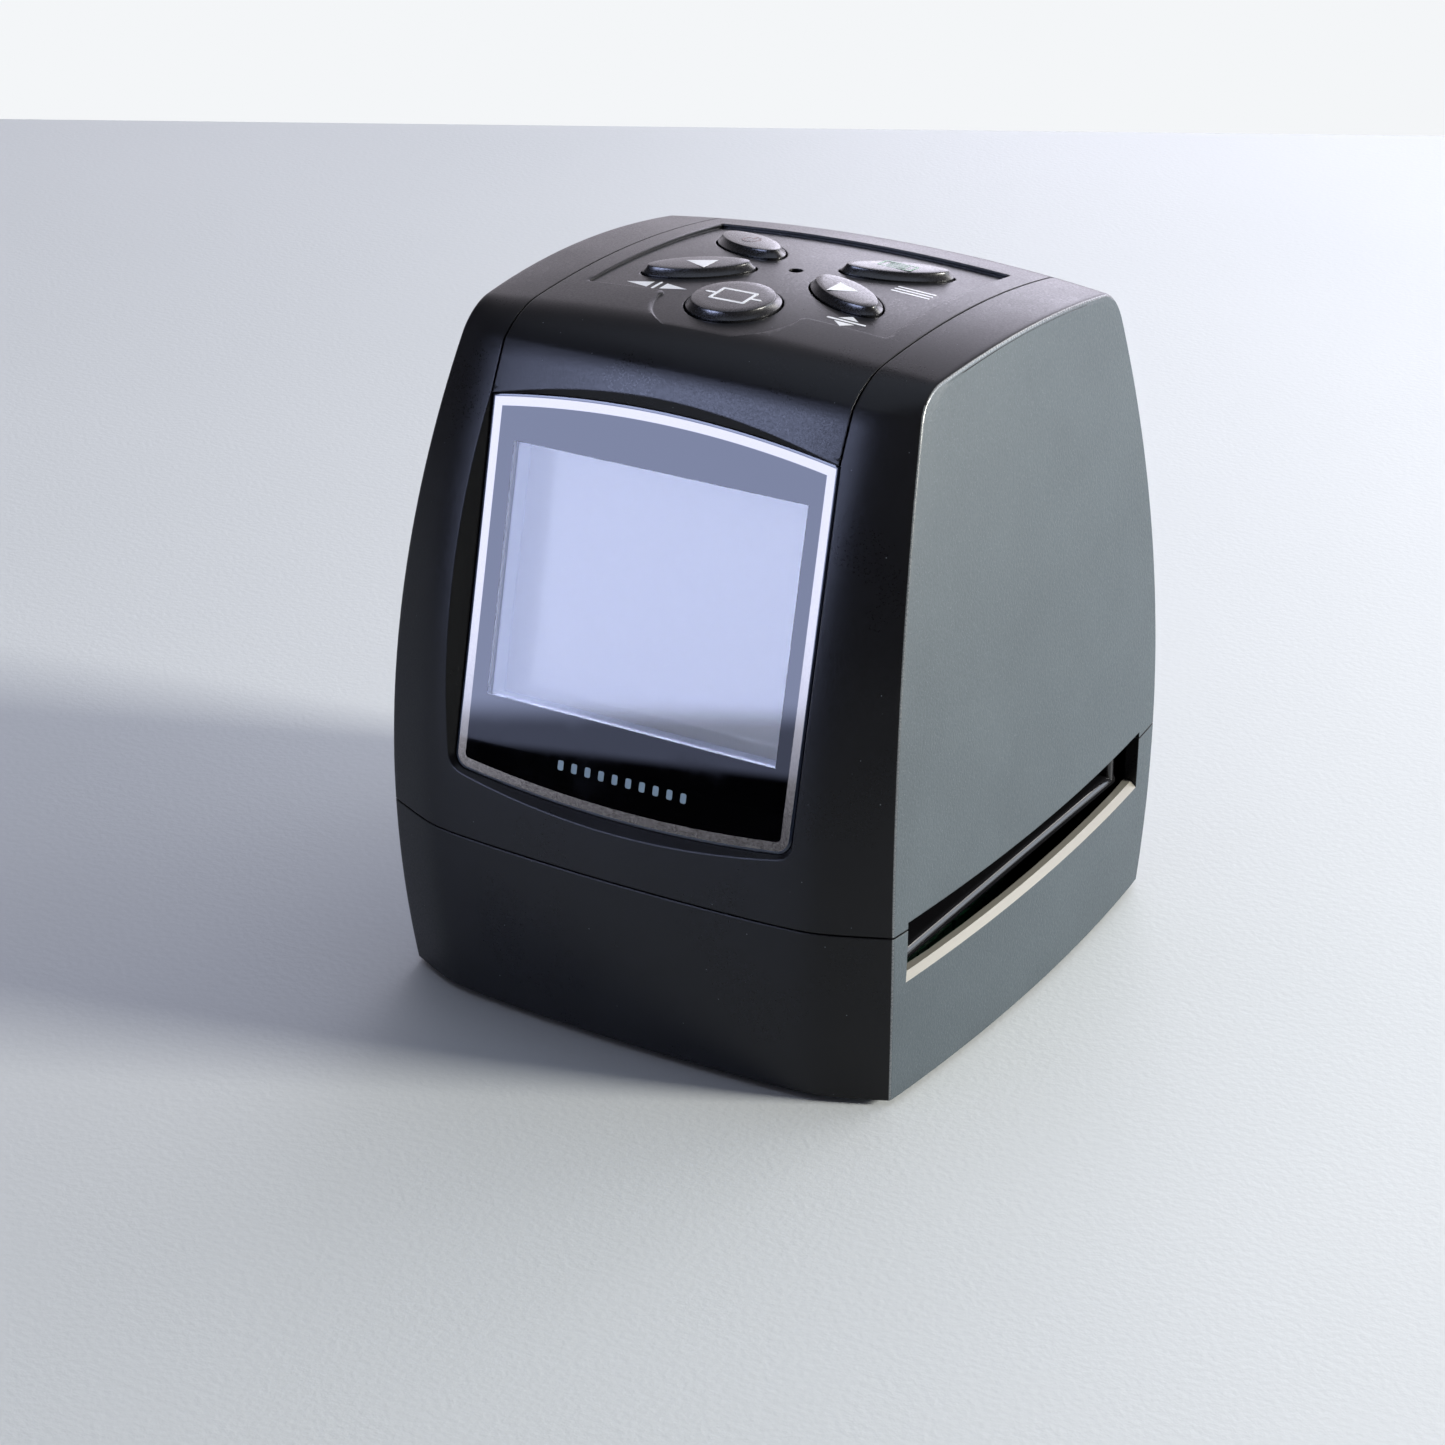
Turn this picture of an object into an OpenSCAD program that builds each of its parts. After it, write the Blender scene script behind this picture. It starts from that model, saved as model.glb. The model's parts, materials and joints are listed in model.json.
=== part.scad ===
// Film negative scanner: a desktop box with a display window, a keypad and a film slot
// that runs from side to side through the base. Millimetres, +Z up, front faces -Y.
// Origin: middle of the footprint, on the table.

/* [Body] */
// Height of the lower edge of the base above the table
base_bottom = 1.0; // [0.8:0.1:1.4]
// Height of the seam between base and upper housing
seam_z = 28.4; // [28:0.1:29]
// Width of the open seam lines
seam_gap = 0.3; // [0.2:0.05:0.5]
// Height at which the body is widest
widest_z = 31; // [28:1:34]
// Half width at the corner creases, at the widest height
half_width = 42.84; // [42:0.1:45]
// Radius of the side profile above the widest height
side_r = 459; // [420:1:600]
// Radius of the side profile below the widest height
side_r_low = 341; // [300:1:500]
// Outward bow of the side panels between the creases
side_bow = 2.2; // [1.6:0.1:2.6]
// The same bow at roof height
side_bow_top = 1.1; // [0.6:0.1:1.6]
// Front crease position at the widest height
front_y = -41.24; // [-43:0.1:-41]
// Radius of the front profile above the widest height
front_r = 161; // [155:1:175]
// Radius of the front profile below the widest height
front_r_low = 220; // [180:1:300]
// Back crease position at the widest height
back_y = 41.25; // [40:0.1:43]
// Radius of the back profile above the widest height
back_r = 276; // [260:1:320]
// Radius of the back profile below the widest height
back_r_low = 640; // [400:10:900]
// Height of the roof crease
roof_z = 103.38; // [103:0.1:105]
// Radius of the roof profile
roof_r = 185; // [170:1:210]
// Position of the highest line of the roof
roof_y = -2; // [-4:0.5:0]
// Corner radius between front and roof
front_corner_r = 7.2; // [6:0.1:9]
// Corner radius between back and roof
back_corner_r = 6.5; // [5.5:0.1:8]
// Rise of the middle of front, roof and back over the creases
crown = 2.25; // [1.8:0.05:2.6]
// Distance from the middle at which the corner facets begin
facet_x = 32.3; // [31:0.1:34]
// Slope of the corner facets
facet_slope = 0.381; // [0.3:0.01:0.45]
// Share of that slope used on the back
back_share = 0.75; // [0.6:0.05:0.9]
// Wall thickness of the mouldings
wall = 2; // [1.8:0.1:2.2]
// Thickness of the base floor
floor_t = 2.2; // [2:0.1:2.6]

/* [Top cover] */
// Half width of the cover strip over the roof
band_half = 28.5; // [28.5:0.1:29]
// Height at which the cover ends on the back
band_back_z = 80; // [79:0.5:82]
// Ledge under the rim of the cover
ledge_w = 4; // [3:0.5:5]
// Height over which the strip covers the front above the window
band_front_z = 89; // [88.5:0.5:90]
// Cover screws, in from the edge of the strip
band_screw_in = 2.1; // [1.9:0.1:2.3]

/* [Window] */
// Backward lean of the window in degrees
window_lean = 13.68; // [13:0.1:14.5]
// Window foot line, front to back
window_foot_y = -45.28; // [-45.6:0.01:-45]
// Window foot line, height
window_foot_z = 39.27; // [39:0.01:40]
// Step from the edge of the cover strip in to the edge of the window
window_step = 0.1; // [0.05:0.05:0.5]
// Height of the window sides
window_height = 54.67; // [54:0.1:55]
// Rise of the arched top edge
window_rise = 2.35; // [1.5:0.05:2.6]
// Sag of the arched foot edge
window_sag = 1.97; // [1.5:0.05:2.2]
// Corner radius at the window foot
window_corner = 2.5; // [1:0.1:4]
// Thickness of the window
window_t = 1.2; // [1:0.1:1.4]
// Thickness of the seat behind the window
seat_t = 1.6; // [1.4:0.1:2]
// Centre of the view opening, up the window
view_v = 30.1; // [29:0.1:31]
// Width of the view opening
view_w = 50.4; // [49:0.1:52]
// Height of the view opening
view_h = 39; // [38:0.1:40]

/* [Display] */
// Display module width
lcd_w = 60.3; // [59:0.1:61]
// Display module height
lcd_h = 42.7; // [42:0.1:44]
// Display module thickness
lcd_t = 2.4; // [2:0.1:3]
// Thickness of the spacer frame in front of the display
spacer_t = 3.2; // [2.6:0.1:3.6]
// Thickness of the metal bracket behind the display
bracket_t = 1; // [0.8:0.1:1.4]
// Bracket screws, out from the sides of the display module
bracket_screw_out = 3.25; // [3.1:0.05:3.6]
// Rim of the spacer frame round the view opening
spacer_rim = 3.95; // [3.5:0.05:4.2]
// Free space round the spacer frame
spacer_gap = 0.3; // [0.2:0.05:0.5]
// Half spacing of the bracket screws up the window
bracket_v = 15; // [12:0.5:17]

/* [Keypad] */
// Half width of the sunken keypad
pad_half = 24.6; // [24:0.1:25]
// Front edge of the keypad
pad_front = -13.3; // [-14:0.1:-12.5]
// Back edge of the keypad
pad_back = 23.3; // [22:0.1:24]
// Sinking of the keypad at its front edge
pad_sink_front = 0.2; // [0.15:0.05:0.4]
// Sinking of the keypad at its back edge
pad_sink_back = 0.65; // [0.5:0.05:0.8]
// Round bay of the keypad in front of the scan button
bay_r = 11.5; // [11:0.1:12.5]
// Position of the scan button
scan_y = -13.3; // [-13.6:0.1:-12.8]
// Radius of the scan button
scan_r = 6.8; // [6.2:0.1:7]
// Half length of the four leaf buttons
leaf_l = 8.2; // [7.8:0.1:8.4]
// Half width of the four leaf buttons
leaf_w = 3.9; // [3.6:0.1:4]
// Leaf centres from the middle, sideways
leaf_x = 12.3; // [12:0.1:12.6]
// Centre of the front pair of leaves
leaf_front_y = -2.9; // [-3.2:0.1:-2.6]
// Centre of the back pair of leaves
leaf_back_y = 11.7; // [11.4:0.1:12]
// Slant of the leaf buttons in degrees
leaf_turn = 31; // [28:1:33]
// Height of the caps above the keypad
cap_rise = 1.5; // [1.2:0.1:1.8]
// Width of the bevel round each cap
cap_bevel = 0.8; // [0.5:0.1:1]
// Gap between a cap and its opening
cap_gap = 0.35; // [0.3:0.05:0.45]
// Width and thickness of the flange that keeps a cap in
flange = 0.9; // [0.7:0.1:1]
// Position of the status light
light_y = 3.8; // [3.5:0.1:4]
// Radius of the status light hole
light_r = 1.05; // [0.9:0.05:1.2]

/* [Switches] */
// Depth of the key board's top face under the line of the roof
key_board_drop = 8.18; // [8:0.02:8.4]
// Front edge of the key board
key_board_front = -20.4; // [-20.6:0.1:-20]
// Back edge of the key board
key_board_back = 24; // [23.6:0.1:24.2]
// Gap between the key board and the ledges of the housing
key_board_gap = 0.5; // [0.4:0.1:0.7]
// Thickness of every circuit board
board_t = 1.6; // [1.2:0.1:1.6]
// Side of a push switch
switch_w = 6; // [5.6:0.1:6.2]
// Height of a push switch housing
switch_h = 3.4; // [3:0.1:3.5]
// Radius of a switch plunger
plunger_r = 1.6; // [1.4:0.1:1.8]
// Height of the plunger over its housing
plunger_rise = 0.9; // [0.8:0.05:1]
// Length of the plunger inside its housing
plunger_in = 0.8; // [0.6:0.1:0.9]
// Free depth under the plunger
plunger_free = 1.1; // [1:0.1:1.3]

/* [Film slot] */
// Lower edge of the slot in the base
slot_bottom = 20.9; // [20.7:0.1:21.2]
// Upper edge of the slot in the housing
slot_top = 29.5; // [29.3:0.1:30]
// Front end of the slot
slot_front = -37.8; // [-38:0.1:-37.4]
// Back end of the slot
slot_back = 34.6; // [34.2:0.1:35]
// Running height of the film tray
tray_floor = 22.5; // [22.3:0.1:22.8]
// Roof over the film tray
tray_roof = 29.3; // [29.1:0.1:29.5]
// Front side of the tray channel
tray_front = -34.5; // [-35:0.1:-34]
// Back side of the tray channel
tray_back = 31; // [30.5:0.1:31.5]
// Gap between the ends of the channel and the side walls
tray_end_gap = 0.34; // [0.3:0.02:0.5]
// Thickness of the channel floor
guide_t = 2.2; // [2:0.1:2.4]
// Thickness of the channel sides and of the gate
guide_wall = 1.8; // [1.6:0.1:2]
// Film window along the film
frame_l = 36.4; // [36:0.1:38]
// Film window across the film
frame_w = 24.4; // [24:0.1:26]

/* [Optics and light] */
// Height of the lens tunnel
tunnel_h = 28; // [26:1:30]
// Length of the lens tunnel at its foot
tunnel_l = 40; // [39:0.5:41]
// Width of the lens tunnel at its foot
tunnel_w = 28; // [27:0.5:29]
// Wall of the lens tunnel
tunnel_wall = 1.5; // [1.2:0.1:1.8]
// Length of the foot flange of the tunnel
tunnel_flange_l = 50; // [49:0.5:51]
// Width of the foot flange of the tunnel
tunnel_flange_w = 36; // [35.5:0.5:37]
// Thickness of the foot flange of the tunnel
tunnel_flange = 1.6; // [1.4:0.1:2]
// Thickness of the lid that carries the lens
tunnel_lid = 2.4; // [2:0.1:2.8]
// Radius of the lens barrel
barrel_r = 6; // [5.5:0.1:6.5]
// Length of the lens barrel
barrel_l = 15; // [14:0.5:16]
// Side of the camera holder
holder_w = 20; // [19:0.5:22]
// Height of the camera holder
holder_h = 8; // [7:0.5:9]
// Side of the camera board
camera_board_w = 26; // [25:0.5:28]
// Length of the diffuser
diffuser_l = 44; // [42:1:46]
// Width of the diffuser
diffuser_w = 32; // [30:1:33]
// Thickness of the diffuser
diffuser_t = 2; // [1.6:0.1:2.4]
// Length of the light board
light_board_l = 58; // [56:1:60]
// Width of the light board
light_board_w = 42; // [40:1:44]
// Screws of the light board, in from its edges
light_screw_in = 3; // [2.6:0.1:3.4]
// Wall of the light box
light_box_wall = 1.6; // [1.4:0.1:2]

/* [Main board] */
// Front edge of the main board
main_board_front = -18; // [-18.5:0.1:-17.5]
// Back edge of the main board
main_board_back = 33; // [32.5:0.1:33.2]
// Upper edge of the main board
main_board_top = 84; // [83:0.5:84.5]
// Lower edge of the main board, under the supply socket
main_board_under = 4.5; // [4:0.1:5]
// Side of the large chip
chip_w = 14; // [12:0.5:15]
// Thickness of the chips
chip_t = 1.4; // [1.2:0.1:1.6]
// Gap between the card socket and the nearest chips
chip_space = 2; // [1.5:0.1:3]
// Length of the small chips
small_chip_l = 8; // [7:0.5:9]
// Width of the small chips
small_chip_w = 6; // [5:0.5:7]
// Radius of the capacitors
capacitor_r = 2.5; // [2:0.1:2.8]
// Height of the capacitors
capacitor_h = 5.4; // [5:0.1:6]

/* [Ports] */
// Face of the main board, on the inner side
main_board_x = -31.4; // [-32:0.1:-31]
// Middle of the card socket
card_z = 56.5; // [56:0.5:57]
// Gap between the supply socket and the card socket
usb_space = 1.1; // [0.8:0.1:1.4]
// Gap between the card socket and the picture output
jack_space = 0.6; // [0.4:0.1:0.8]
// Back end of the card socket
card_socket_back = 38; // [37.6:0.1:38.2]
// Side of the card socket
card_socket_w = 28; // [27:0.2:28.4]
// Thickness of the card socket
card_socket_t = 3.2; // [3:0.1:3.4]
// Width of the card slit
card_slit = 24.6; // [24.4:0.1:25]
// Height of the supply socket
usb_h = 7.8; // [7.6:0.1:8]
// Thickness of the supply socket
usb_t = 4; // [3.8:0.1:4.2]
// Length of the supply socket
usb_l = 9; // [8.5:0.1:9.5]
// Radius of the ring round the picture output
jack_r = 2.6; // [2.4:0.1:2.8]
// Gap between a socket and its opening in the housing
port_gap = 0.3; // [0.2:0.05:0.4]

/* [Screws and feet] */
// Radius of the rubber feet
foot_r = 4.5; // [4:0.1:5]
// Foot centres, sideways
foot_x = 34.2; // [33:0.1:35]
// Foot centres, front to back
foot_y = 34.6; // [33:0.1:35]
// Radius of the long housing screws
screw_r = 1.3; // [1.2:0.05:1.4]
// Radius of the small screws
small_r = 1; // [0.9:0.05:1.1]

/* [Fits] */
// Gap between parts that are laid on each other
seat_gap = 0.1; // [0.05:0.01:0.15]
// Gap round the window edge
window_gap = 0.18; // [0.14:0.02:0.22]
// Play of a screw in its thread
thread_play = 0.05; // [0.03:0.01:0.08]
// Play of a screw in a through hole
hole_play = 0.3; // [0.2:0.05:0.4]
// Play of a plunger in its switch
plunger_play = 0.3; // [0.25:0.05:0.35]

/* [Hidden] */
$fn = 48;
lens_y = (tray_front + tray_back) / 2;
cf = [front_y + front_r, widest_z];
cb = [back_y - back_r, widest_z];
cr = [roof_y, roof_z - roof_r];
kf = inside_centre(cf, front_r, cr, roof_r, front_corner_r, -1);
kb = inside_centre(cb, back_r, cr, roof_r, back_corner_r, 1);
a_front = angle_of(kf - cf);
a_roof_1 = angle_of(kf - cr);
a_roof_2 = angle_of(kb - cr);
a_back = angle_of(kb - cb);
window_half = band_half - window_step;
bracket_x = lcd_w / 2 + bracket_screw_out;
seat_back = -window_t - seat_gap - seat_t;
lcd_face = seat_back - seat_gap - spacer_t - seat_gap;
lcd_back = lcd_face - lcd_t;
bracket_face = lcd_back - seat_gap;
recess_h = 6.2;
post_top = 36;
post_foot = 20;
tube_shoulder = 13;
head_h = 1.8;
front_posts = [20, -41.2];
back_posts = [22, 38.4];
ear_spots = [[33, -38.6], [33.5, 35.6]];
ear_r = 2.9;
tray_half = half_width - wall - tray_end_gap;
guide_under = tray_floor - guide_t;
gate_top = tray_roof + guide_wall;
tunnel_foot = gate_top + seat_gap;
tunnel_top = tunnel_foot + tunnel_h;
barrel_lip = tunnel_top + seat_gap;
holder_foot = barrel_lip + 1.5 + seat_gap;
camera_z = holder_foot + holder_h + seat_gap;
diffuser_z = guide_under - seat_gap - diffuser_t;
light_board_z = base_bottom + floor_t + 2.4;
box_z = light_board_z + board_t + seat_gap;
key_board_half = band_half - ledge_w - key_board_gap;
key_posts = [[key_board_half - 3.4, key_board_front + 4.2], [key_board_half - 2.2, key_board_back - 3]];
key_board_z = roof_z - key_board_drop;
key_under = key_board_z - board_t;
usb_z = card_z - card_socket_w / 2 - usb_space - usb_h / 2;
jack_z = card_z + card_socket_w / 2 + jack_space + jack_r + 0.3;
chip_back = card_socket_back - card_socket_w - chip_space;
board_posts = [[-13, 38], [27, 37.5], [-13, 78], [18, 79]];
light_posts = [light_board_l / 2 - light_screw_in, light_board_w / 2 - light_screw_in];
tunnel_spots = [tunnel_flange_l / 2 - 2.7, tunnel_flange_w / 2 - 2.4];
band_spots = [for (y = [-6, 24]) [band_half - band_screw_in, y]];

// Piece to show: all, or one name from the list

// ---------- outer form ----------
function angle_of(p) = atan2(p[1], p[0]);
function on_circle(c, r, a) = c + r * [cos(a), sin(a)];

// Centre of a corner circle that touches two larger circles from the inside
function inside_centre(c1, r1, c2, r2, r, side) =
    let (p = r1 - r, q = r2 - r, d = norm(c2 - c1), a = (p * p - q * q + d * d) / (2 * d),
         h = sqrt(p * p - a * a), ex = (c2 - c1) / d, ey = [-ex[1], ex[0]])
    c1 + a * ex + side * h * ey;

function bow(z, high, low) =
    let (r = z > widest_z ? high : low) r - sqrt(r * r - pow(z - widest_z, 2));
function front_at(z) = front_y + bow(z, front_r, front_r_low);
function back_at(z) = back_y - bow(z, back_r, back_r_low);

// Half width of the side panel at a point of the side view
function side_at(y, z) =
    let (f = front_at(z), b = back_at(z), t = min(1, max(0, (z - widest_z) / (roof_z - widest_z))),
         lift = side_bow + (side_bow_top - side_bow) * t)
    half_width - bow(z, side_r, side_r_low) + lift * (1 - pow((2 * y - f - b) / (b - f), 2));

// One station of the crease line: [y, z, normal y, normal z, facet share]
function station(p, n, share) = [p[0], p[1], n[0], n[1], share];
function low_station(z, y, c, share) =
    let (n = [y - c, z - widest_z]) station([y, z], n / norm(n), share);
function front_station(z) =
    low_station(z, front_at(z), front_y + (z > widest_z ? front_r : front_r_low), 1);
function back_station(z) =
    low_station(z, back_at(z), back_y - (z > widest_z ? back_r : back_r_low), back_share);
function arc_station(c, r, a, share) = station(on_circle(c, r, a), [cos(a), sin(a)], share);

function crease(nf, nc, nr) =
    let (z0 = base_bottom - 3, zf = on_circle(cf, front_r, a_front)[1],
         zb = on_circle(cb, back_r, a_back)[1])
    concat(
        [for (i = [0 : nf - 1]) front_station(z0 + (zf - z0) * i / (nf - 1))],
        [for (i = [1 : nc - 1]) let (t = i / nc)
            arc_station(kf, front_corner_r, a_front + (a_roof_1 - a_front) * t, pow(1 - t, 2))],
        [for (i = [0 : nr]) arc_station(cr, roof_r, a_roof_1 + (a_roof_2 - a_roof_1) * i / nr, 0)],
        [for (i = [1 : nc - 1]) let (t = i / nc)
            arc_station(kb, back_corner_r, a_roof_2 + (a_back - a_roof_2) * t, back_share * pow(t, 2.4))],
        [for (i = [0 : nf - 1]) back_station(zb + (z0 - zb) * i / (nf - 1))]);

// Rise of the surface over the crease line, x away from the middle
function soft_min(a, b) = (a + b - sqrt(pow(a - b, 2) + 9)) / 2;
function rise_at(x, half, share) =
    let (full = half - facet_x, low = soft_min(0, full))
    crown * (1 - pow(x / half, 2))
    + facet_slope * share * full * (soft_min(half - abs(x), full) - low)
      / (soft_min(half, full) - low);

function skin_point(s, v, inset) =
    let (half = side_at(s[0], s[1]), h = rise_at(v * half, half, s[4]) - inset)
    [v * (half - inset), s[0] + s[2] * h, s[1] + s[3] * h];

// Side panel point between the two crease points of one row
function side_point(a, b, t, way, inset) =
    let (y = a[0] + a[2] * -inset + (b[0] - b[2] * inset - a[0] + a[2] * inset) * t,
         z = a[1] + a[3] * -inset + (b[1] - b[3] * inset - a[1] + a[3] * inset) * t)
    [way * (side_at(y, z) - inset), y, z];

// Closed body of the scanner, its skin moved inward by inset
module body(inset = 0, nf = 9, nc = 4, nr = 5, nv = 16, ns = 4) {
    line = crease(nf, nc, nr);
    n = len(line);
    rows = n / 2;
    w = nv + 1;
    skin = [for (i = [0 : n - 1]) for (j = [0 : nv]) skin_point(line[i], 2 * j / nv - 1, inset)];
    right = [for (i = [0 : rows - 2]) for (k = [1 : ns - 1])
        side_point(line[i], line[n - 1 - i], k / ns, 1, inset)];
    left = [for (i = [0 : rows - 2]) for (k = [1 : ns - 1])
        side_point(line[i], line[n - 1 - i], k / ns, -1, inset)];
    r0 = n * w;
    l0 = r0 + (rows - 1) * (ns - 1);
    // index of a side point, row i, place k; the ends are crease points
    function rp(i, k) = k == 0 ? i * w + nv : k == ns ? (n - 1 - i) * w + nv : r0 + i * (ns - 1) + k - 1;
    function lp(i, k) = k == 0 ? i * w : k == ns ? (n - 1 - i) * w : l0 + i * (ns - 1) + k - 1;
    last = rows - 2;
    half_ns = ns / 2;
    faces = concat(
        [for (i = [0 : n - 2]) for (j = [0 : nv - 1]) [i * w + j, (i + 1) * w + j, (i + 1) * w + j + 1]],
        [for (i = [0 : n - 2]) for (j = [0 : nv - 1]) [i * w + j, (i + 1) * w + j + 1, i * w + j + 1]],
        [for (i = [0 : last - 1]) for (k = [0 : ns - 1]) [rp(i, k), rp(i + 1, k), rp(i + 1, k + 1)]],
        [for (i = [0 : last - 1]) for (k = [0 : ns - 1]) [rp(i, k), rp(i + 1, k + 1), rp(i, k + 1)]],
        [for (i = [0 : last - 1]) for (k = [0 : ns - 1]) [lp(i, k), lp(i + 1, k + 1), lp(i + 1, k)]],
        [for (i = [0 : last - 1]) for (k = [0 : ns - 1]) [lp(i, k), lp(i, k + 1), lp(i + 1, k + 1)]],
        [for (k = [0 : half_ns - 1]) [rp(last, k), (rows - 1) * w + nv, rp(last, k + 1)]],
        [for (k = [half_ns : ns - 1]) [rp(last, k), rows * w + nv, rp(last, k + 1)]],
        [[rp(last, half_ns), (rows - 1) * w + nv, rows * w + nv]],
        [for (k = [0 : half_ns - 1]) [lp(last, k), lp(last, k + 1), (rows - 1) * w]],
        [for (k = [half_ns : ns - 1]) [lp(last, k), lp(last, k + 1), rows * w]],
        [[lp(last, half_ns), rows * w, (rows - 1) * w]],
        [for (j = [0 : nv - 1]) [j, j + 1, (n - 1) * w + j + 1]],
        [for (j = [0 : nv - 1]) [j, (n - 1) * w + j + 1, (n - 1) * w + j]],
        [for (k = [1 : ns - 1]) [nv, rp(0, k), rp(0, k + 1)]],
        [for (k = [1 : ns - 1]) [0, lp(0, k + 1), lp(0, k)]]);
    polyhedron(points = concat(skin, right, left), faces = faces, convexity = 4);
}

// Coarser body for inner faces
module inner(inset) body(inset, 6, 2, 3, 12, 2);

module slab(z0, z1) translate([-60, -60, z0]) cube([120, 120, z1 - z0]);
module mirrored() {
    children();
    mirror([1, 0, 0]) children();
}

// ---------- window frame of reference ----------
module in_window() translate([0, window_foot_y, window_foot_z])
    rotate([90 - window_lean, 0, 0]) children();

function arc_r(half, rise) = (half * half + rise * rise) / (2 * rise);

// Points of an arc from angle a to angle b
function arc(c, r, a, b, n) = [for (i = [0 : n]) on_circle(c, r, a + (b - a) * i / n)];

// Outline with straight sides, an arched top and a sagging foot with round corners
function arched(half, foot, top, rise, sag, corner, grow = 0) =
    let (rt = arc_r(half, rise), rs = arc_r(half, sag), ct = [0, top + rise - rt],
         cs = [0, foot - sag + rs], at = acos((half + grow) / (rt + grow)),
         kx = half - corner, k = [kx, cs[1] - sqrt(pow(rs - corner, 2) - kx * kx)],
         ak = atan2(k[1] - cs[1], kx))
    concat(arc(ct, rt + grow, at, 180 - at, 20),
           arc([-kx, k[1]], corner + grow, 180, 180 - ak, 5),
           arc(cs, rs + grow, -180 - ak, ak, 20),
           arc(k, corner + grow, ak, 0, 5));

module window_outline(grow = 0) polygon(arched(window_half, 0, window_height, window_rise,
    window_sag, window_corner, grow));

// Flared recess in front of the window
module window_recess() in_window() hull() {
    linear_extrude(0.1) window_outline(window_gap + 0.03);
    translate([0, 0, recess_h]) linear_extrude(0.1)
        polygon(arched(window_half + 0.57 * recess_h, -0.72 * recess_h, window_height + 0.38 * recess_h,
                       window_rise + 1.92 * recess_h, window_sag + 0.58 * recess_h, 3));
}

module window_pocket() in_window() translate([0, 0, -window_t - seat_gap])
    linear_extrude(window_t + seat_gap + 0.05) window_outline(window_gap);

// ---------- roof frame of reference ----------
function roof_at(x, y) =
    roof_z - roof_r + sqrt(roof_r * roof_r - pow(y - roof_y, 2))
    + crown * (1 - pow(x / side_at(y, roof_z), 2));
function sink_at(y) = pad_sink_front
    + (pad_sink_back - pad_sink_front) * (y - scan_y + bay_r) / (pad_back - scan_y + bay_r);
function pad_at(x, y) = roof_at(x, y) - sink_at(y);
function cover_seat(p) = roof_at(p[0], p[1]) - wall - 2;

module on_pad(x, y) {
    step = 0.5;
    sx = (pad_at(x + step, y) - pad_at(x - step, y)) / (2 * step);
    sy = (pad_at(x, y + step) - pad_at(x, y - step)) / (2 * step);
    translate([x, y, pad_at(x, y)]) rotate([atan(sy), -atan(sx), 0]) children();
}

// Leaf outline: an ellipse whose ends are drawn in a little
function leaf(half_l, half_w, turn = 0, n = 40) = [for (i = [0 : n - 1]) let (t = 360 * i / n,
    u = half_l * cos(t), v = half_w * sin(t) * (0.9 + 0.1 * pow(sin(t), 2)))
    [u * cos(turn) - v * sin(turn), u * sin(turn) + v * cos(turn)]];

// Outline of one button: 0 power, 1 left, 2 scan, 3 right, 4 menu
spots = [[-leaf_x, leaf_back_y, -leaf_turn], [-leaf_x, leaf_front_y, leaf_turn], [0, scan_y, 0],
         [leaf_x, leaf_front_y, -leaf_turn], [leaf_x, leaf_back_y, leaf_turn]];
module outline_of(i, grow = 0) {
    if (i == 2) circle(r = scan_r + grow);
    else polygon(leaf(leaf_l + grow, leaf_w + grow, spots[i][2]));
}

// ---------- upper housing ----------
// Region of the cover strip, seen from the side, grown by g
module cover_zone(g) difference() {
    translate([-band_half - g, -50, band_back_z - g]) cube([2 * (band_half + g), 100, 60]);
    // in front the strip ends at the arched window edge
    translate([-60, -60, 0]) cube([120, 60, band_front_z - g]);
}

module ports() {
    // memory card slit
    translate([main_board_x + 0.1, 30, card_z - card_slit / 2 - 0.5])
        cube([card_socket_t - 0.2, 20, card_slit + 1]);
    // supply socket
    translate([main_board_x - port_gap + 0.1, 30, usb_z - usb_h / 2 - port_gap])
        cube([usb_t + 2 * port_gap, 20, usb_h + 2 * port_gap]);
    // picture output
    translate([main_board_x + 3, 30, jack_z]) rotate([-90, 0, 0]) cylinder(r = jack_r + port_gap, h = 20);
}

module shell_posts() mirrored() for (p = [front_posts, back_posts])
    translate([p[0], p[1], post_foot]) cylinder(r = 3.2, h = post_top - post_foot);
module post_ribs() mirrored() for (p = [front_posts, back_posts])
    translate([p[0] - 2, p[1] < 0 ? p[1] - 6 : p[1], seam_z + 1]) cube([4, 6, post_top - seam_z - 1]);

// Section of the body at distance x from the middle, moved inward by inset
function section_at(x, inset) = [for (s = crease(5, 2, 4))
    let (h = rise_at(x, side_at(s[0], s[1]), s[4]) - inset) [s[0] + s[2] * h, s[1] + s[3] * h]];

// Strip along the inside of roof and back wall, its region drawn in the side view
module rim(x0, x1) translate([x0, 0, 0]) rotate([90, 0, 90]) linear_extrude(x1 - x0)
    difference() {
        children();
        polygon(section_at((x0 + x1) / 2, wall + 2.4));
    }

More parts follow.
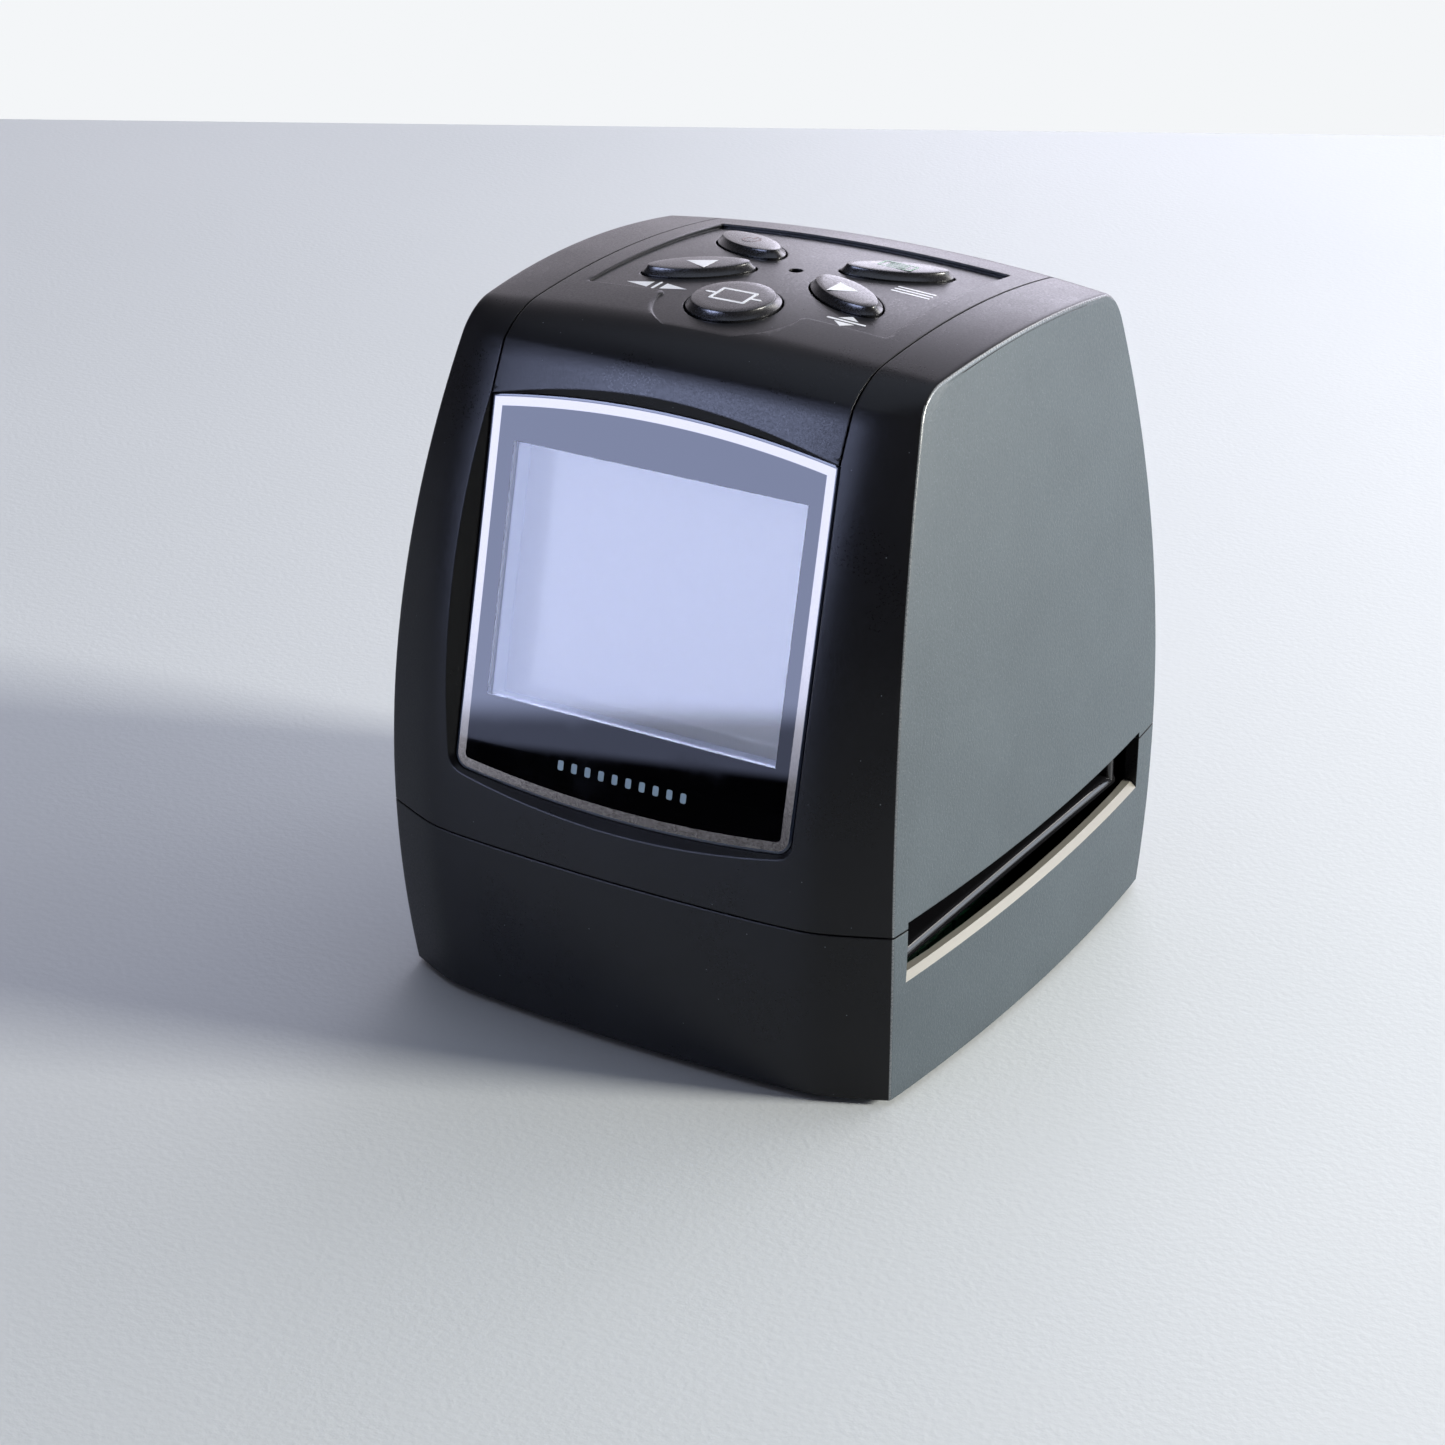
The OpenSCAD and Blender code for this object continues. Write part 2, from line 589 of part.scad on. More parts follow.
module main_shell() color("#1f2023") difference() {
    union() {
        difference() {
            intersection() {
                body();
                slab(seam_z + seam_gap / 2, 120);
            }
            // hollow, with everything that stands on the inner face left over
            difference() {
                inner(wall);
                // frame and seat round the window
                in_window() translate([0, 0, seat_back]) linear_extrude(12) window_outline(3);
                // ledges under the rim of the cover
                mirrored() rim(band_half - ledge_w, band_half + 2.5) {
                    translate([-32, 91]) square([60, 30]);
                    translate([0, band_back_z - 2.5]) square([60, 40]);
                }
                rim(-band_half, band_half)
                    translate([20, band_back_z - 2.5]) square([40, ledge_w + 2.5]);
                post_ribs();
                // bosses of the display bracket
                in_window() for (x = [-bracket_x, bracket_x], v = [-bracket_v, bracket_v])
                    translate([x, view_v + v, bracket_face + seat_gap]) cylinder(r = 2.4, h = 14);
                // bosses of the main board, on the left wall
                for (p = board_posts) translate([-60, p[0], p[1]]) rotate([0, 90, 0])
                    cylinder(r = 2.6, h = 60 + main_board_x - board_t - seat_gap);
            }
        }
        shell_posts();
    }
    // place of the cover strip
    difference() {
        cover_zone(seam_gap / 2);
        inner(wall + 0.2);
    }
    window_recess();
    window_pocket();
    // view opening
    in_window() translate([-view_w / 2, view_v - view_h / 2, -20]) cube([view_w, view_h, 21]);
    // place of the spacer frame
    in_window() translate([0, view_v, lcd_face]) linear_extrude(spacer_t + 1.5 * seat_gap)
        spacer_outline(spacer_gap);
    // upper part of the film slot
    translate([-60, slot_front, 20]) cube([120, slot_back - slot_front, slot_top - 20]);
    for (p = [front_posts, back_posts]) mirrored()
        translate([p[0], p[1], post_foot - 1]) cylinder(r = screw_r + thread_play, h = 14.5);
    in_window() for (x = [-bracket_x, bracket_x], v = [-bracket_v, bracket_v])
        translate([x, view_v + v, bracket_face - 1]) cylinder(r = small_r + thread_play, h = 6.4);
    for (p = board_posts) translate([main_board_x - board_t - 5.4, p[0], p[1]]) rotate([0, 90, 0])
        cylinder(r = small_r + thread_play, h = 10);
    for (p = band_spots) mirrored() translate([p[0], p[1], 0]) {
        translate([0, 0, 90]) cylinder(r = small_r + hole_play, h = 20);
        translate([0, 0, 90]) cylinder(r = 2.2, h = cover_seat(p) - 90);
    }
    ports();
}

module top_cover() color("#1f2023") difference() {
    intersection() {
        body();
        cover_zone(-seam_gap / 2);
    }
    difference() {
        inner(wall);
        // bosses of the key board
        for (p = key_posts) mirrored()
            translate([p[0], p[1], key_board_z + seat_gap]) cylinder(r = 2.1, h = 12);
    }
    window_recess();
    window_pocket();
    in_window() translate([-40, 0, -20]) cube([80, window_height + 1, 20.05]);
    // sunken keypad with its round bay
    intersection() {
        translate([0, 0, key_board_z + 0.8]) linear_extrude(20) {
            translate([-pad_half, pad_front]) square([2 * pad_half, pad_back - pad_front]);
            translate([0, scan_y]) circle(r = bay_r, $fn = 72);
        }
        over_pad();
    }
    for (i = [0 : 4]) on_pad(spots[i][0], spots[i][1])
        translate([0, 0, -5]) linear_extrude(10) outline_of(i, cap_gap);
    translate([0, light_y, key_board_z + 0.8]) cylinder(r = light_r, h = 20);
    for (p = key_posts) mirrored() translate([p[0], p[1], key_board_z - 1])
        cylinder(r = small_r + thread_play, h = 6);
    for (p = band_spots) mirrored() translate([p[0], p[1], cover_seat(p) - 1])
        cylinder(r = small_r + thread_play, h = 4.1);
}

// Block over the keypad, its lower face the keypad floor
module over_pad() {
    nx = 8;
    ny = 10;
    w = nx + 1;
    y0 = scan_y - bay_r - 1;
    top = w * (ny + 1);
    grid = [for (j = [0 : ny]) for (i = [0 : nx])
        [(2 * i / nx - 1) * (pad_half + 1), y0 + (pad_back + 1 - y0) * j / ny]];
    lid = [grid[0], grid[nx], grid[top - 1], grid[top - w]];
    points = concat([for (p = grid) [p[0], p[1], pad_at(p[0], p[1])]], [for (p = lid) [p[0], p[1], 112]]);
    faces = concat(
        [for (j = [0 : ny - 1]) for (i = [0 : nx - 1]) [j * w + i, j * w + i + 1, (j + 1) * w + i + 1]],
        [for (j = [0 : ny - 1]) for (i = [0 : nx - 1]) [j * w + i, (j + 1) * w + i + 1, (j + 1) * w + i]],
        [[top + 3, top + 2, top + 1, top]],
        [concat([for (i = [nx : -1 : 0]) i], [top, top + 1])],
        [concat([for (i = [0 : nx]) ny * w + i], [top + 2, top + 3])],
        [concat([for (j = [0 : ny]) j * w], [top + 3, top])],
        [concat([for (j = [ny : -1 : 0]) j * w + nx], [top + 1, top + 2])]);
    polyhedron(points = points, faces = faces, convexity = 2);
}

module cover_screws() color("#9a9ca0") for (p = band_spots) mirrored() {
    translate([p[0], p[1], cover_seat(p) - 1.05]) cylinder(r = 1.8, h = 1);
    translate([p[0], p[1], cover_seat(p) - 0.2]) cylinder(r = small_r, h = 3.2);
}

// ---------- base ----------
module base_shell() color("#1f2023") difference() {
    union() {
        difference() {
            intersection() {
                body();
                slab(base_bottom, seam_z - seam_gap / 2);
            }
            intersection() {
                inner(wall);
                slab(base_bottom + floor_t, 60);
            }
        }
        intersection() {
            inner(wall / 2);
            union() {
                // tubes of the long housing screws
                for (p = [front_posts, back_posts]) mirrored()
                    translate([p[0], p[1], base_bottom + 0.5])
                        cylinder(r = 4, h = post_foot - 0.3 - base_bottom - 0.5);
                // posts under the film channel
                for (p = ear_spots) mirrored() translate([p[0], p[1], base_bottom + 1])
                    cylinder(r = ear_r, h = guide_under - seat_gap - base_bottom - 1);
                // posts under the light board
                for (sx = [-1, 1], sy = [-1, 1])
                    translate([sx * light_posts[0], lens_y + sy * light_posts[1], base_bottom + 1])
                        cylinder(r = 2.4, h = light_board_z - seat_gap - base_bottom - 1);
            }
        }
    }
    translate([-60, slot_front, slot_bottom]) cube([120, slot_back - slot_front, 20]);
    for (p = [front_posts, back_posts]) mirrored() translate([p[0], p[1], 0]) {
        cylinder(r = 2.9, h = tube_shoulder);
        cylinder(r = screw_r + hole_play, h = 30);
    }
    for (p = ear_spots) mirrored() translate([p[0], p[1], guide_under - 9])
        cylinder(r = small_r + thread_play, h = 20);
    for (sx = [-1, 1], sy = [-1, 1])
        translate([sx * light_posts[0], lens_y + sy * light_posts[1], base_bottom + 1.2])
            cylinder(r = small_r + thread_play, h = 10);
    for (y = [-foot_y, foot_y]) mirrored() translate([foot_x, y, 0])
        cylinder(r = foot_r + 0.15, h = base_bottom + 1);
}

module rubber_feet() color("#18181a") for (y = [-foot_y, foot_y]) mirrored()
    translate([foot_x, y, 0]) cylinder(r = foot_r, h = base_bottom + 1 - 0.05);

module base_screws() color("#8d8f93") for (p = [front_posts, back_posts]) mirrored()
    translate([p[0], p[1], 0]) difference() {
        union() {
            translate([0, 0, tube_shoulder - 0.05 - head_h]) cylinder(r = 2.5, h = head_h);
            translate([0, 0, tube_shoulder - 0.1]) cylinder(r = screw_r, h = 18);
        }
        cross_slot(tube_shoulder - 0.05 - head_h, 1.6);
    }

// Cross recess cut upward into a screw head
module cross_slot(z, half) {
    translate([-half, -0.3, z - 0.1]) cube([2 * half, 0.6, 1]);
    translate([-0.3, -half, z - 0.1]) cube([0.6, 2 * half, 1]);
}

// ---------- window and display ----------
module display_window() color("#3a3f52") in_window() translate([0, 0, -window_t])
    linear_extrude(window_t) window_outline(0);

module spacer_outline(grow = 0)
    square([view_w + 2 * (spacer_rim + grow), view_h + 2.7 + 2 * grow], center = true);

module display_spacer() color("#c9ccd2") in_window()
    translate([0, view_v, lcd_face + seat_gap]) linear_extrude(spacer_t) difference() {
        spacer_outline();
        square([view_w - 0.8, view_h - 1], center = true);
    }

module display_panel() color("#b9bdd0") in_window()
    translate([-lcd_w / 2, view_v - lcd_h / 2, lcd_back]) cube([lcd_w, lcd_h, lcd_t]);

module display_bracket() color("#a8aaad") in_window() translate([0, view_v, bracket_face - bracket_t])
    linear_extrude(bracket_t) difference() {
        union() {
            square([lcd_w - 4, lcd_h + 1], center = true);
            for (v = [-bracket_v, bracket_v]) {
                square_at(0, v, 2 * bracket_x, 6);
                for (x = [-bracket_x, bracket_x]) translate([x, v]) circle(r = 3);
            }
        }
        square([34, 20], center = true);
        for (x = [-bracket_x, bracket_x], v = [-bracket_v, bracket_v])
            translate([x, v]) circle(r = small_r + hole_play);
    }
module square_at(x, y, w, h) translate([x, y]) square([w, h], center = true);

module display_screws() color("#9a9ca0") in_window()
    for (x = [-bracket_x, bracket_x], v = [-bracket_v, bracket_v])
        translate([x, view_v + v, bracket_face - bracket_t - 1.35]) {
            cylinder(r = 2, h = 1.3);
            cylinder(r = small_r, h = 7.4);
        }

// ---------- keypad ----------
// Side profile of a button from its flange up to the bevelled top: [growth, height]
function cap_rings(under) = [[flange, -under - flange], [flange, -under], [0, -under],
                             [0, 0.1], [-cap_bevel, cap_rise]];

// Solid through leaf outlines that are stacked on each other
module leaf_stack(rings, turn, n = 40) {
    last = (len(rings) - 1) * n;
    polyhedron(
        points = [for (g = rings) for (p = leaf(leaf_l + g[0], leaf_w + g[0], turn, n)) [p[0], p[1], g[1]]],
        faces = concat(
            [[for (i = [0 : n - 1]) i]],
            [[for (i = [n - 1 : -1 : 0]) last + i]],
            [for (k = [0 : len(rings) - 2]) for (i = [0 : n - 1]) let (j = (i + 1) % n)
                [k * n + i, (k + 1) * n + i, (k + 1) * n + j]],
            [for (k = [0 : len(rings) - 2]) for (i = [0 : n - 1]) let (j = (i + 1) % n)
                [k * n + i, (k + 1) * n + j, k * n + j]]));
}

module button(i) {
    x = spots[i][0];
    y = spots[i][1];
    under = wall - sink_at(y) + 0.5;
    rings = cap_rings(under);
    on_pad(x, y) {
        if (i == 2) rotate_extrude() polygon(concat([[0, rings[0][1]]],
            [for (g = rings) [scan_r + g[0], g[1]]], [[0, cap_rise]]));
        else leaf_stack(rings, spots[i][2]);
    }
    stem_foot = key_board_z + switch_h + plunger_rise;
    translate([x, y, stem_foot]) cylinder(r = 1.9, h = pad_at(x, y) - under - 0.4 - stem_foot);
}
module power_button() color("#202124") button(0);
module left_button() color("#202124") button(1);
module scan_button() color("#202124") button(2);
module right_button() color("#202124") button(3);
module menu_button() color("#202124") button(4);

module plunger(i) color("#c8b48a") translate([spots[i][0], spots[i][1], key_board_z + switch_h - plunger_in])
    cylinder(r = plunger_r, h = plunger_in + plunger_rise);
module power_plunger() plunger(0);
module left_plunger() plunger(1);
module scan_plunger() plunger(2);
module right_plunger() plunger(3);
module menu_plunger() plunger(4);

module push_switches() color("#3c3d40") for (s = spots) translate([s[0], s[1], key_board_z]) difference() {
    translate([-switch_w / 2, -switch_w / 2, 0]) cube([switch_w, switch_w, switch_h]);
    translate([0, 0, switch_h - plunger_in - plunger_free])
        cylinder(r = plunger_r + plunger_play, h = 10);
}

module key_board() color("#1f6b42") difference() {
    translate([-key_board_half, key_board_front, key_under])
        cube([2 * key_board_half, key_board_back - key_board_front, board_t]);
    for (p = key_posts) mirrored() translate([p[0], p[1], 80])
        cylinder(r = small_r + hole_play, h = 30);
}

module key_screws() color("#9a9ca0") for (p = key_posts) mirrored() translate([p[0], p[1], 0]) {
    translate([0, 0, key_under - 1.35]) cylinder(r = 1.9, h = 1.3);
    translate([0, 0, key_under - 0.2]) cylinder(r = small_r, h = 6.4);
}

module status_light() color("#4a4e52") translate([0, light_y, 0]) {
    top = pad_at(0, light_y) - 0.7;
    translate([0, 0, key_board_z + 1.2]) cylinder(r = light_r - 0.1, h = top - key_board_z - 1.2);
    translate([0, 0, pad_at(0, light_y) - wall - 0.6]) cylinder(r = 1.9, h = 0.8);
}
module status_led() color("#e8e4cf") translate([-1.4, light_y - 0.8, key_board_z])
    cube([2.8, 1.6, 1.1]);

// ---------- film channel ----------
module rounded_bar(half, y0, y1, z0, t) {
    translate([-half + t / 2, y0, z0]) cube([2 * half - t, y1 - y0, t]);
    for (x = [-half + t / 2, half - t / 2]) translate([x, y0, z0 + t / 2]) rotate([-90, 0, 0])
        cylinder(r = t / 2, h = y1 - y0);
}

module tray_guide() color("#17181a") difference() {
    union() {
        rounded_bar(tray_half, tray_front - guide_wall, tray_back + guide_wall, guide_under, guide_t);
        for (y = [tray_front - guide_wall, tray_back]) {
            translate([-tray_half + guide_wall / 2, y, guide_under + 0.5])
                cube([2 * tray_half - guide_wall, guide_wall, tray_roof - seat_gap - guide_under - 0.5]);
            for (x = [-tray_half + guide_wall / 2, tray_half - guide_wall / 2])
                translate([x, y + guide_wall / 2, guide_under + 1])
                    cylinder(r = guide_wall / 2, h = tray_roof - seat_gap - guide_under - 1);
        }
        for (p = ear_spots) mirrored() {
            translate([p[0], p[1], guide_under]) cylinder(r = ear_r, h = tray_roof - seat_gap - guide_under);
        }
    }
    // keep the channel clear of the tubes
    translate([-60, tray_front, tray_floor]) cube([120, tray_back - tray_front, 20]);
    translate([-frame_l / 2 - 1, lens_y - frame_w / 2 - 1, 10]) cube([frame_l + 2, frame_w + 2, 20]);
    for (p = ear_spots) mirrored() translate([p[0], p[1], 0])
        cylinder(r = small_r + hole_play, h = 60);
}

module film_gate() color("#17181a") difference() {
    union() {
        rounded_bar(tray_half - 0.2, tray_front - guide_wall, tray_back + guide_wall, tray_roof, guide_wall);
        for (p = ear_spots) mirrored() translate([p[0], p[1], tray_roof])
            cylinder(r = ear_r, h = guide_wall);
    }
    translate([-frame_l / 2, lens_y - frame_w / 2, 10]) cube([frame_l, frame_w, 40]);
    for (p = ear_spots) mirrored() translate([p[0], p[1], 0])
        cylinder(r = small_r + hole_play, h = 60);
    for (sx = [-1, 1], sy = [-1, 1])
        translate([sx * tunnel_spots[0], lens_y + sy * tunnel_spots[1], 0])
            cylinder(r = small_r + thread_play, h = 60);
}

module gate_screws() color("#9a9ca0") for (p = ear_spots) mirrored() translate([p[0], p[1], 0]) {
    translate([0, 0, gate_top + 0.05]) cylinder(r = 2.1, h = 1.4);
    translate([0, 0, guide_under - 8.5]) cylinder(r = small_r, h = gate_top - guide_under + 8.6);
}

// ---------- camera ----------
module block(l, w, z, h) translate([-l / 2, lens_y - w / 2, z]) cube([l, w, h]);

module tunnel_form(inset, z0, z1) hull() {
    block(tunnel_l - 2 * inset, tunnel_w - 2 * inset, z0, 0.1);
    block(holder_w - 2 * inset, holder_w - 2 * inset, z1 - 0.1, 0.1);
}

module lens_tunnel() color("#17181a") difference() {
    union() {
        tunnel_form(0, tunnel_foot, tunnel_top);
        block(tunnel_flange_l, tunnel_flange_w, tunnel_foot, tunnel_flange);
    }
    difference() {
        tunnel_form(tunnel_wall, tunnel_foot - 0.1, tunnel_top);
        slab(tunnel_top - tunnel_lid, 120);
    }
    translate([0, lens_y, tunnel_top - 10]) cylinder(r = barrel_r + 0.1, h = 20);
    for (sx = [-1, 1], sy = [-1, 1])
        translate([sx * tunnel_spots[0], lens_y + sy * tunnel_spots[1], 0])
            cylinder(r = small_r + hole_play, h = 60);
}

module tunnel_screws() color("#9a9ca0") for (sx = [-1, 1], sy = [-1, 1])
    translate([sx * tunnel_spots[0], lens_y + sy * tunnel_spots[1], tunnel_foot + tunnel_flange]) {
        translate([0, 0, 0.05]) cylinder(r = 1.9, h = 1.2);
        translate([0, 0, -3]) cylinder(r = small_r, h = 3.5);
    }

module lens_barrel() color("#202124") translate([0, lens_y, 0]) difference() {
    union() {
        translate([0, 0, barrel_lip - barrel_l + 4]) cylinder(r = barrel_r, h = barrel_l);
        translate([0, 0, barrel_lip]) cylinder(r = barrel_r + 1.8, h = 1.5);
    }
    translate([0, 0, barrel_lip - barrel_l]) cylinder(r = 3.6, h = 40);
    translate([0, 0, barrel_lip - barrel_l + 1]) cylinder(r = 4.7, h = 6);
    translate([0, 0, barrel_lip]) cylinder(r = 4.7, h = 20);
}

module lens_discs() color("#9fb7c4") translate([0, lens_y, 0]) {
    translate([0, 0, barrel_lip - barrel_l + 4.95]) cylinder(r = 4.65, h = 2);
    translate([0, 0, barrel_lip + 0.05]) cylinder(r = 4.65, h = 2.4);
}

module camera_holder() color("#202124") difference() {
    block(holder_w, holder_w, holder_foot, holder_h);
    translate([0, lens_y, holder_foot - 1]) cylinder(r = barrel_r + 0.3, h = 4);
    translate([0, lens_y, holder_foot - 1]) cylinder(r = 5, h = 30);
    block(12, 12, holder_foot + holder_h - 2, 10);
    for (s = [-1, 1]) translate([s * 7.8, lens_y + s * 7.8, holder_foot + 2])
        cylinder(r = small_r + thread_play, h = 20);
}

module camera_board() color("#1f6b42") difference() {
    block(camera_board_w, camera_board_w, camera_z, board_t);
    for (s = [-1, 1]) translate([s * 7.8, lens_y + s * 7.8, camera_z - 1])
        cylinder(r = small_r + hole_play, h = 20);
}

module image_sensor() color("#2c3a4a") block(10, 10, camera_z - 1.5, 1.45);

module camera_screws() color("#9a9ca0") for (s = [-1, 1])
    translate([s * 7.8, lens_y + s * 7.8, camera_z + board_t]) {
        translate([0, 0, 0.05]) cylinder(r = 1.9, h = 1.2);
        translate([0, 0, -5]) cylinder(r = small_r, h = 5.5);
    }

// ---------- light source ----------
module diffuser() color("#f0f0ec") block(diffuser_l, diffuser_w, diffuser_z, diffuser_t);

module light_box() color("#e8e8e4") difference() {
    block(diffuser_l, diffuser_w, box_z, diffuser_z - seat_gap - box_z);
    block(diffuser_l - 2 * light_box_wall, diffuser_w - 2 * light_box_wall, box_z - 1, 30);
}

module light_board() color("#1f6b42") difference() {
    block(light_board_l, light_board_w, light_board_z, board_t);
    for (sx = [-1, 1], sy = [-1, 1])
        translate([sx * light_posts[0], lens_y + sy * light_posts[1], 0])
            cylinder(r = small_r + hole_play, h = 30);
}

module light_leds() color("#f3e7a0") for (x = [-12, 0, 12], y = [-7, 7])
    translate([x - 1.4, lens_y + y - 1.75, light_board_z + board_t]) cube([2.8, 3.5, 1.2]);

module light_screws() color("#9a9ca0") for (sx = [-1, 1], sy = [-1, 1])
    translate([sx * light_posts[0], lens_y + sy * light_posts[1], light_board_z + board_t]) {
        translate([0, 0, 0.05]) cylinder(r = 1.9, h = 1.2);
        translate([0, 0, -4.6]) cylinder(r = small_r, h = 5);
    }

// ---------- main board ----------
module main_board() color("#1f6b42") difference() {
    translate([main_board_x - board_t, main_board_front, usb_z - main_board_under])
        cube([board_t, main_board_back - main_board_front, main_board_top - usb_z + main_board_under]);
    for (p = board_posts) translate([-60, p[0], p[1]]) rotate([0, 90, 0])
        cylinder(r = small_r + hole_play, h = 60);
}

module board_screws() color("#9a9ca0") for (p = board_posts)
    translate([main_board_x, p[0], p[1]]) rotate([0, 90, 0]) {
        translate([0, 0, 0.05]) cylinder(r = 2, h = 1.2);
        translate([0, 0, -6.4]) cylinder(r = small_r, h = 6.8);
    }

module board_chips() color("#26272a") {
    translate([main_board_x, chip_back - chip_space - chip_w, card_z + 0.5]) cube([chip_t, chip_w, chip_w]);
    translate([main_board_x, chip_back - chip_space - 12, jack_z]) cube([chip_t, small_chip_l, small_chip_w]);
    translate([main_board_x, chip_back - small_chip_l, card_z - 10.5])
        cube([chip_t, small_chip_l, small_chip_w]);
}

module board_capacitors() color("#8f9298") for (z = [card_z - 12.5, card_z - 6.5])
    translate([main_board_x, chip_back - small_chip_l - 5, z])
        rotate([0, 90, 0]) cylinder(r = capacitor_r, h = capacitor_h);

module supply_socket() color("#b4b6ba") difference() {
    translate([main_board_x, main_board_back + 0.4, usb_z - usb_h / 2]) cube([usb_t, usb_l, usb_h]);
    translate([main_board_x + 0.5, main_board_back + 2.4, usb_z - usb_h / 2 + 0.5])
        cube([usb_t - 1, 10, usb_h - 1]);
}

module card_socket() color("#a9abb0") difference() {
    translate([main_board_x, card_socket_back - card_socket_w, card_z - card_socket_w / 2])
        cube([card_socket_t, card_socket_w, card_socket_w]);
    translate([main_board_x + 0.5, card_socket_back + 2 - card_socket_w, card_z - card_slit / 2])
        cube([card_socket_t - 0.9, 30, card_slit]);
}

module picture_socket() color("#26272a") difference() {
    union() {
        translate([main_board_x, 24.6, jack_z - jack_r - 0.3]) cube([6, 12, 2 * jack_r + 0.6]);
        translate([main_board_x + 3, 36, jack_z]) rotate([-90, 0, 0]) cylinder(r = jack_r, h = 4.2);
    }
    translate([main_board_x + 3, 28, jack_z]) rotate([-90, 0, 0]) cylinder(r = 1.8, h = 20);
}

// ---------- show ----------
base_shell();
rubber_feet();
base_screws();
main_shell();
top_cover();
cover_screws();
display_window();
display_spacer();
display_panel();
display_bracket();
display_screws();
power_button();
left_button();
scan_button();
right_button();
menu_button();
power_plunger();
left_plunger();
scan_plunger();
right_plunger();
menu_plunger();
push_switches();
key_board();
key_screws();
status_light();
status_led();
tray_guide();
film_gate();
gate_screws();
lens_tunnel();
tunnel_screws();
lens_barrel();
lens_discs();
camera_holder();
camera_board();
image_sensor();
camera_screws();
diffuser();
light_box();
light_board();
light_leds();
light_screws();
main_board();
board_screws();
board_chips();
board_capacitors();
supply_socket();
card_socket();
picture_socket();
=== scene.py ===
# %% [markdown]
# # A desktop film negative scanner
# The housing is three black mouldings: a base, an upper housing and a cover strip that runs over
# the roof. A tinted window lies in front, five push buttons on the roof, and a slot for the film
# holder goes from side to side through the base. Every piece made here sits in the same place,
# in metres, with its front facing -Y.

# %% Load the engineering model
import json
import bmesh
import bpy
import numpy as np
from math import acos, atan, atan2, cos, pi, radians, sin, sqrt
from mathutils import Matrix, Vector


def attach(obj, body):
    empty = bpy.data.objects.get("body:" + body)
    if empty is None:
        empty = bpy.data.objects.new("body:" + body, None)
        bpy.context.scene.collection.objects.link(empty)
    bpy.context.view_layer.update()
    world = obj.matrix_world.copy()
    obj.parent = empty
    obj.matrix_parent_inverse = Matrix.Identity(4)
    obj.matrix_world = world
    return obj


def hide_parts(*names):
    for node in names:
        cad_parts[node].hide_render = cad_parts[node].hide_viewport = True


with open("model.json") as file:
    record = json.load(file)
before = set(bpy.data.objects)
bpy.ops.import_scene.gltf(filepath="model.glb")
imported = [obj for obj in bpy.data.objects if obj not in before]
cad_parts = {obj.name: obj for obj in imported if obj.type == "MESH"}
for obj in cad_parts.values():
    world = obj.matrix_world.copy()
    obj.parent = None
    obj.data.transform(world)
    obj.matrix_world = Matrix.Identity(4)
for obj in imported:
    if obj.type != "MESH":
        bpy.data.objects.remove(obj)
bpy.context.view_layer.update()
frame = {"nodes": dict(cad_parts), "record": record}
nodes = frame["nodes"]
MM = 0.001

# %% [markdown]
# ## Camera
# The camera stands to the right of the front and looks down. It comes first, so that every later
# piece can be judged in its view. The numbers are a target point, two angles, a small roll and the
# distance. A long lens keeps the box from looking wedge shaped.

# %% Camera
TARGET_MM = Vector((-10.661, 0.0, 31.972))
AZIMUTH, ELEVATION, ROLL = (radians(a) for a in (31.993, 25.152, -0.411))
DISTANCE_MM = 554.096
FOCAL_PX, FRAME_PX, SENSOR_MM = 3609.19, 1445, 36.0
CLIP_END_M = 20

back = Vector((sin(AZIMUTH) * cos(ELEVATION), -cos(AZIMUTH) * cos(ELEVATION),
               sin(ELEVATION)))
right = (-back).cross(Vector((0, 0, 1))).normalized()
up = right.cross(-back)
right_r = right * cos(ROLL) + up * sin(ROLL)
up_r = up * cos(ROLL) - right * sin(ROLL)

camera_data = bpy.data.cameras.new("camera")
camera_data.sensor_width = SENSOR_MM
camera_data.lens = FOCAL_PX / FRAME_PX * SENSOR_MM
camera_data.clip_end = CLIP_END_M
camera = bpy.data.objects.new("camera", camera_data)
turn = Matrix((right_r, up_r, back)).transposed()
camera.matrix_world = Matrix.Translation((TARGET_MM + back * DISTANCE_MM) * MM) @ turn.to_4x4()
bpy.context.scene.collection.objects.link(camera)
bpy.context.scene.camera = camera
print("lens, mm:", round(camera_data.lens, 1))

# %% [markdown]
# ## The outer form
# The body is a loft. A closed line of stations goes up the front crease, over the roof and down
# the back. At each station a cross section spans from the left to the right crease, a little
# crowned, and on the front it breaks into a slanted facet near each corner. The side panels bow
# between the creases. Boxes with a subdivision modifier could come close, but the slant of the
# facets and the radii are known sizes, so the points are computed.

# %% Sizes of the body, in mm
BASE_BOTTOM, SEAM_Z, SEAM_GAP = 1.0, 28.4, 0.3
WIDEST_Z, HALF_WIDTH = 31.0, 42.75
SIDE_R, SIDE_R_LOW, SIDE_BOW, SIDE_BOW_TOP = 459.0, 341.0, 2.2, 1.1
FRONT_Y, FRONT_R, FRONT_R_LOW = -41.16, 161.0, 220.0
BACK_Y, BACK_R, BACK_R_LOW = 41.21, 276.0, 640.0
ROOF_Z, ROOF_R, ROOF_Y = 103.38, 185.0, -2.0
FRONT_CORNER_R, BACK_CORNER_R = 7.2, 6.5
CROWN, FACET_X, FACET_SLOPE, BACK_SHARE = 2.25, 32.3, 0.381, 0.75
WALL = 2.0
BEND_SOFT = 3.0
BAND_HALF, BAND_BACK_Z = 28.5, 80.0
CREASE_R, EDGE_STEPS, SLOPE_STEP = 0.7, 5, 0.2
BELOW_BASE, BACK_FADE = 3, 2.4


def bow(z, high, low):
    r = high if z > WIDEST_Z else low
    return r - sqrt(r * r - (z - WIDEST_Z) ** 2)


def front_at(z):
    return FRONT_Y + bow(z, FRONT_R, FRONT_R_LOW)


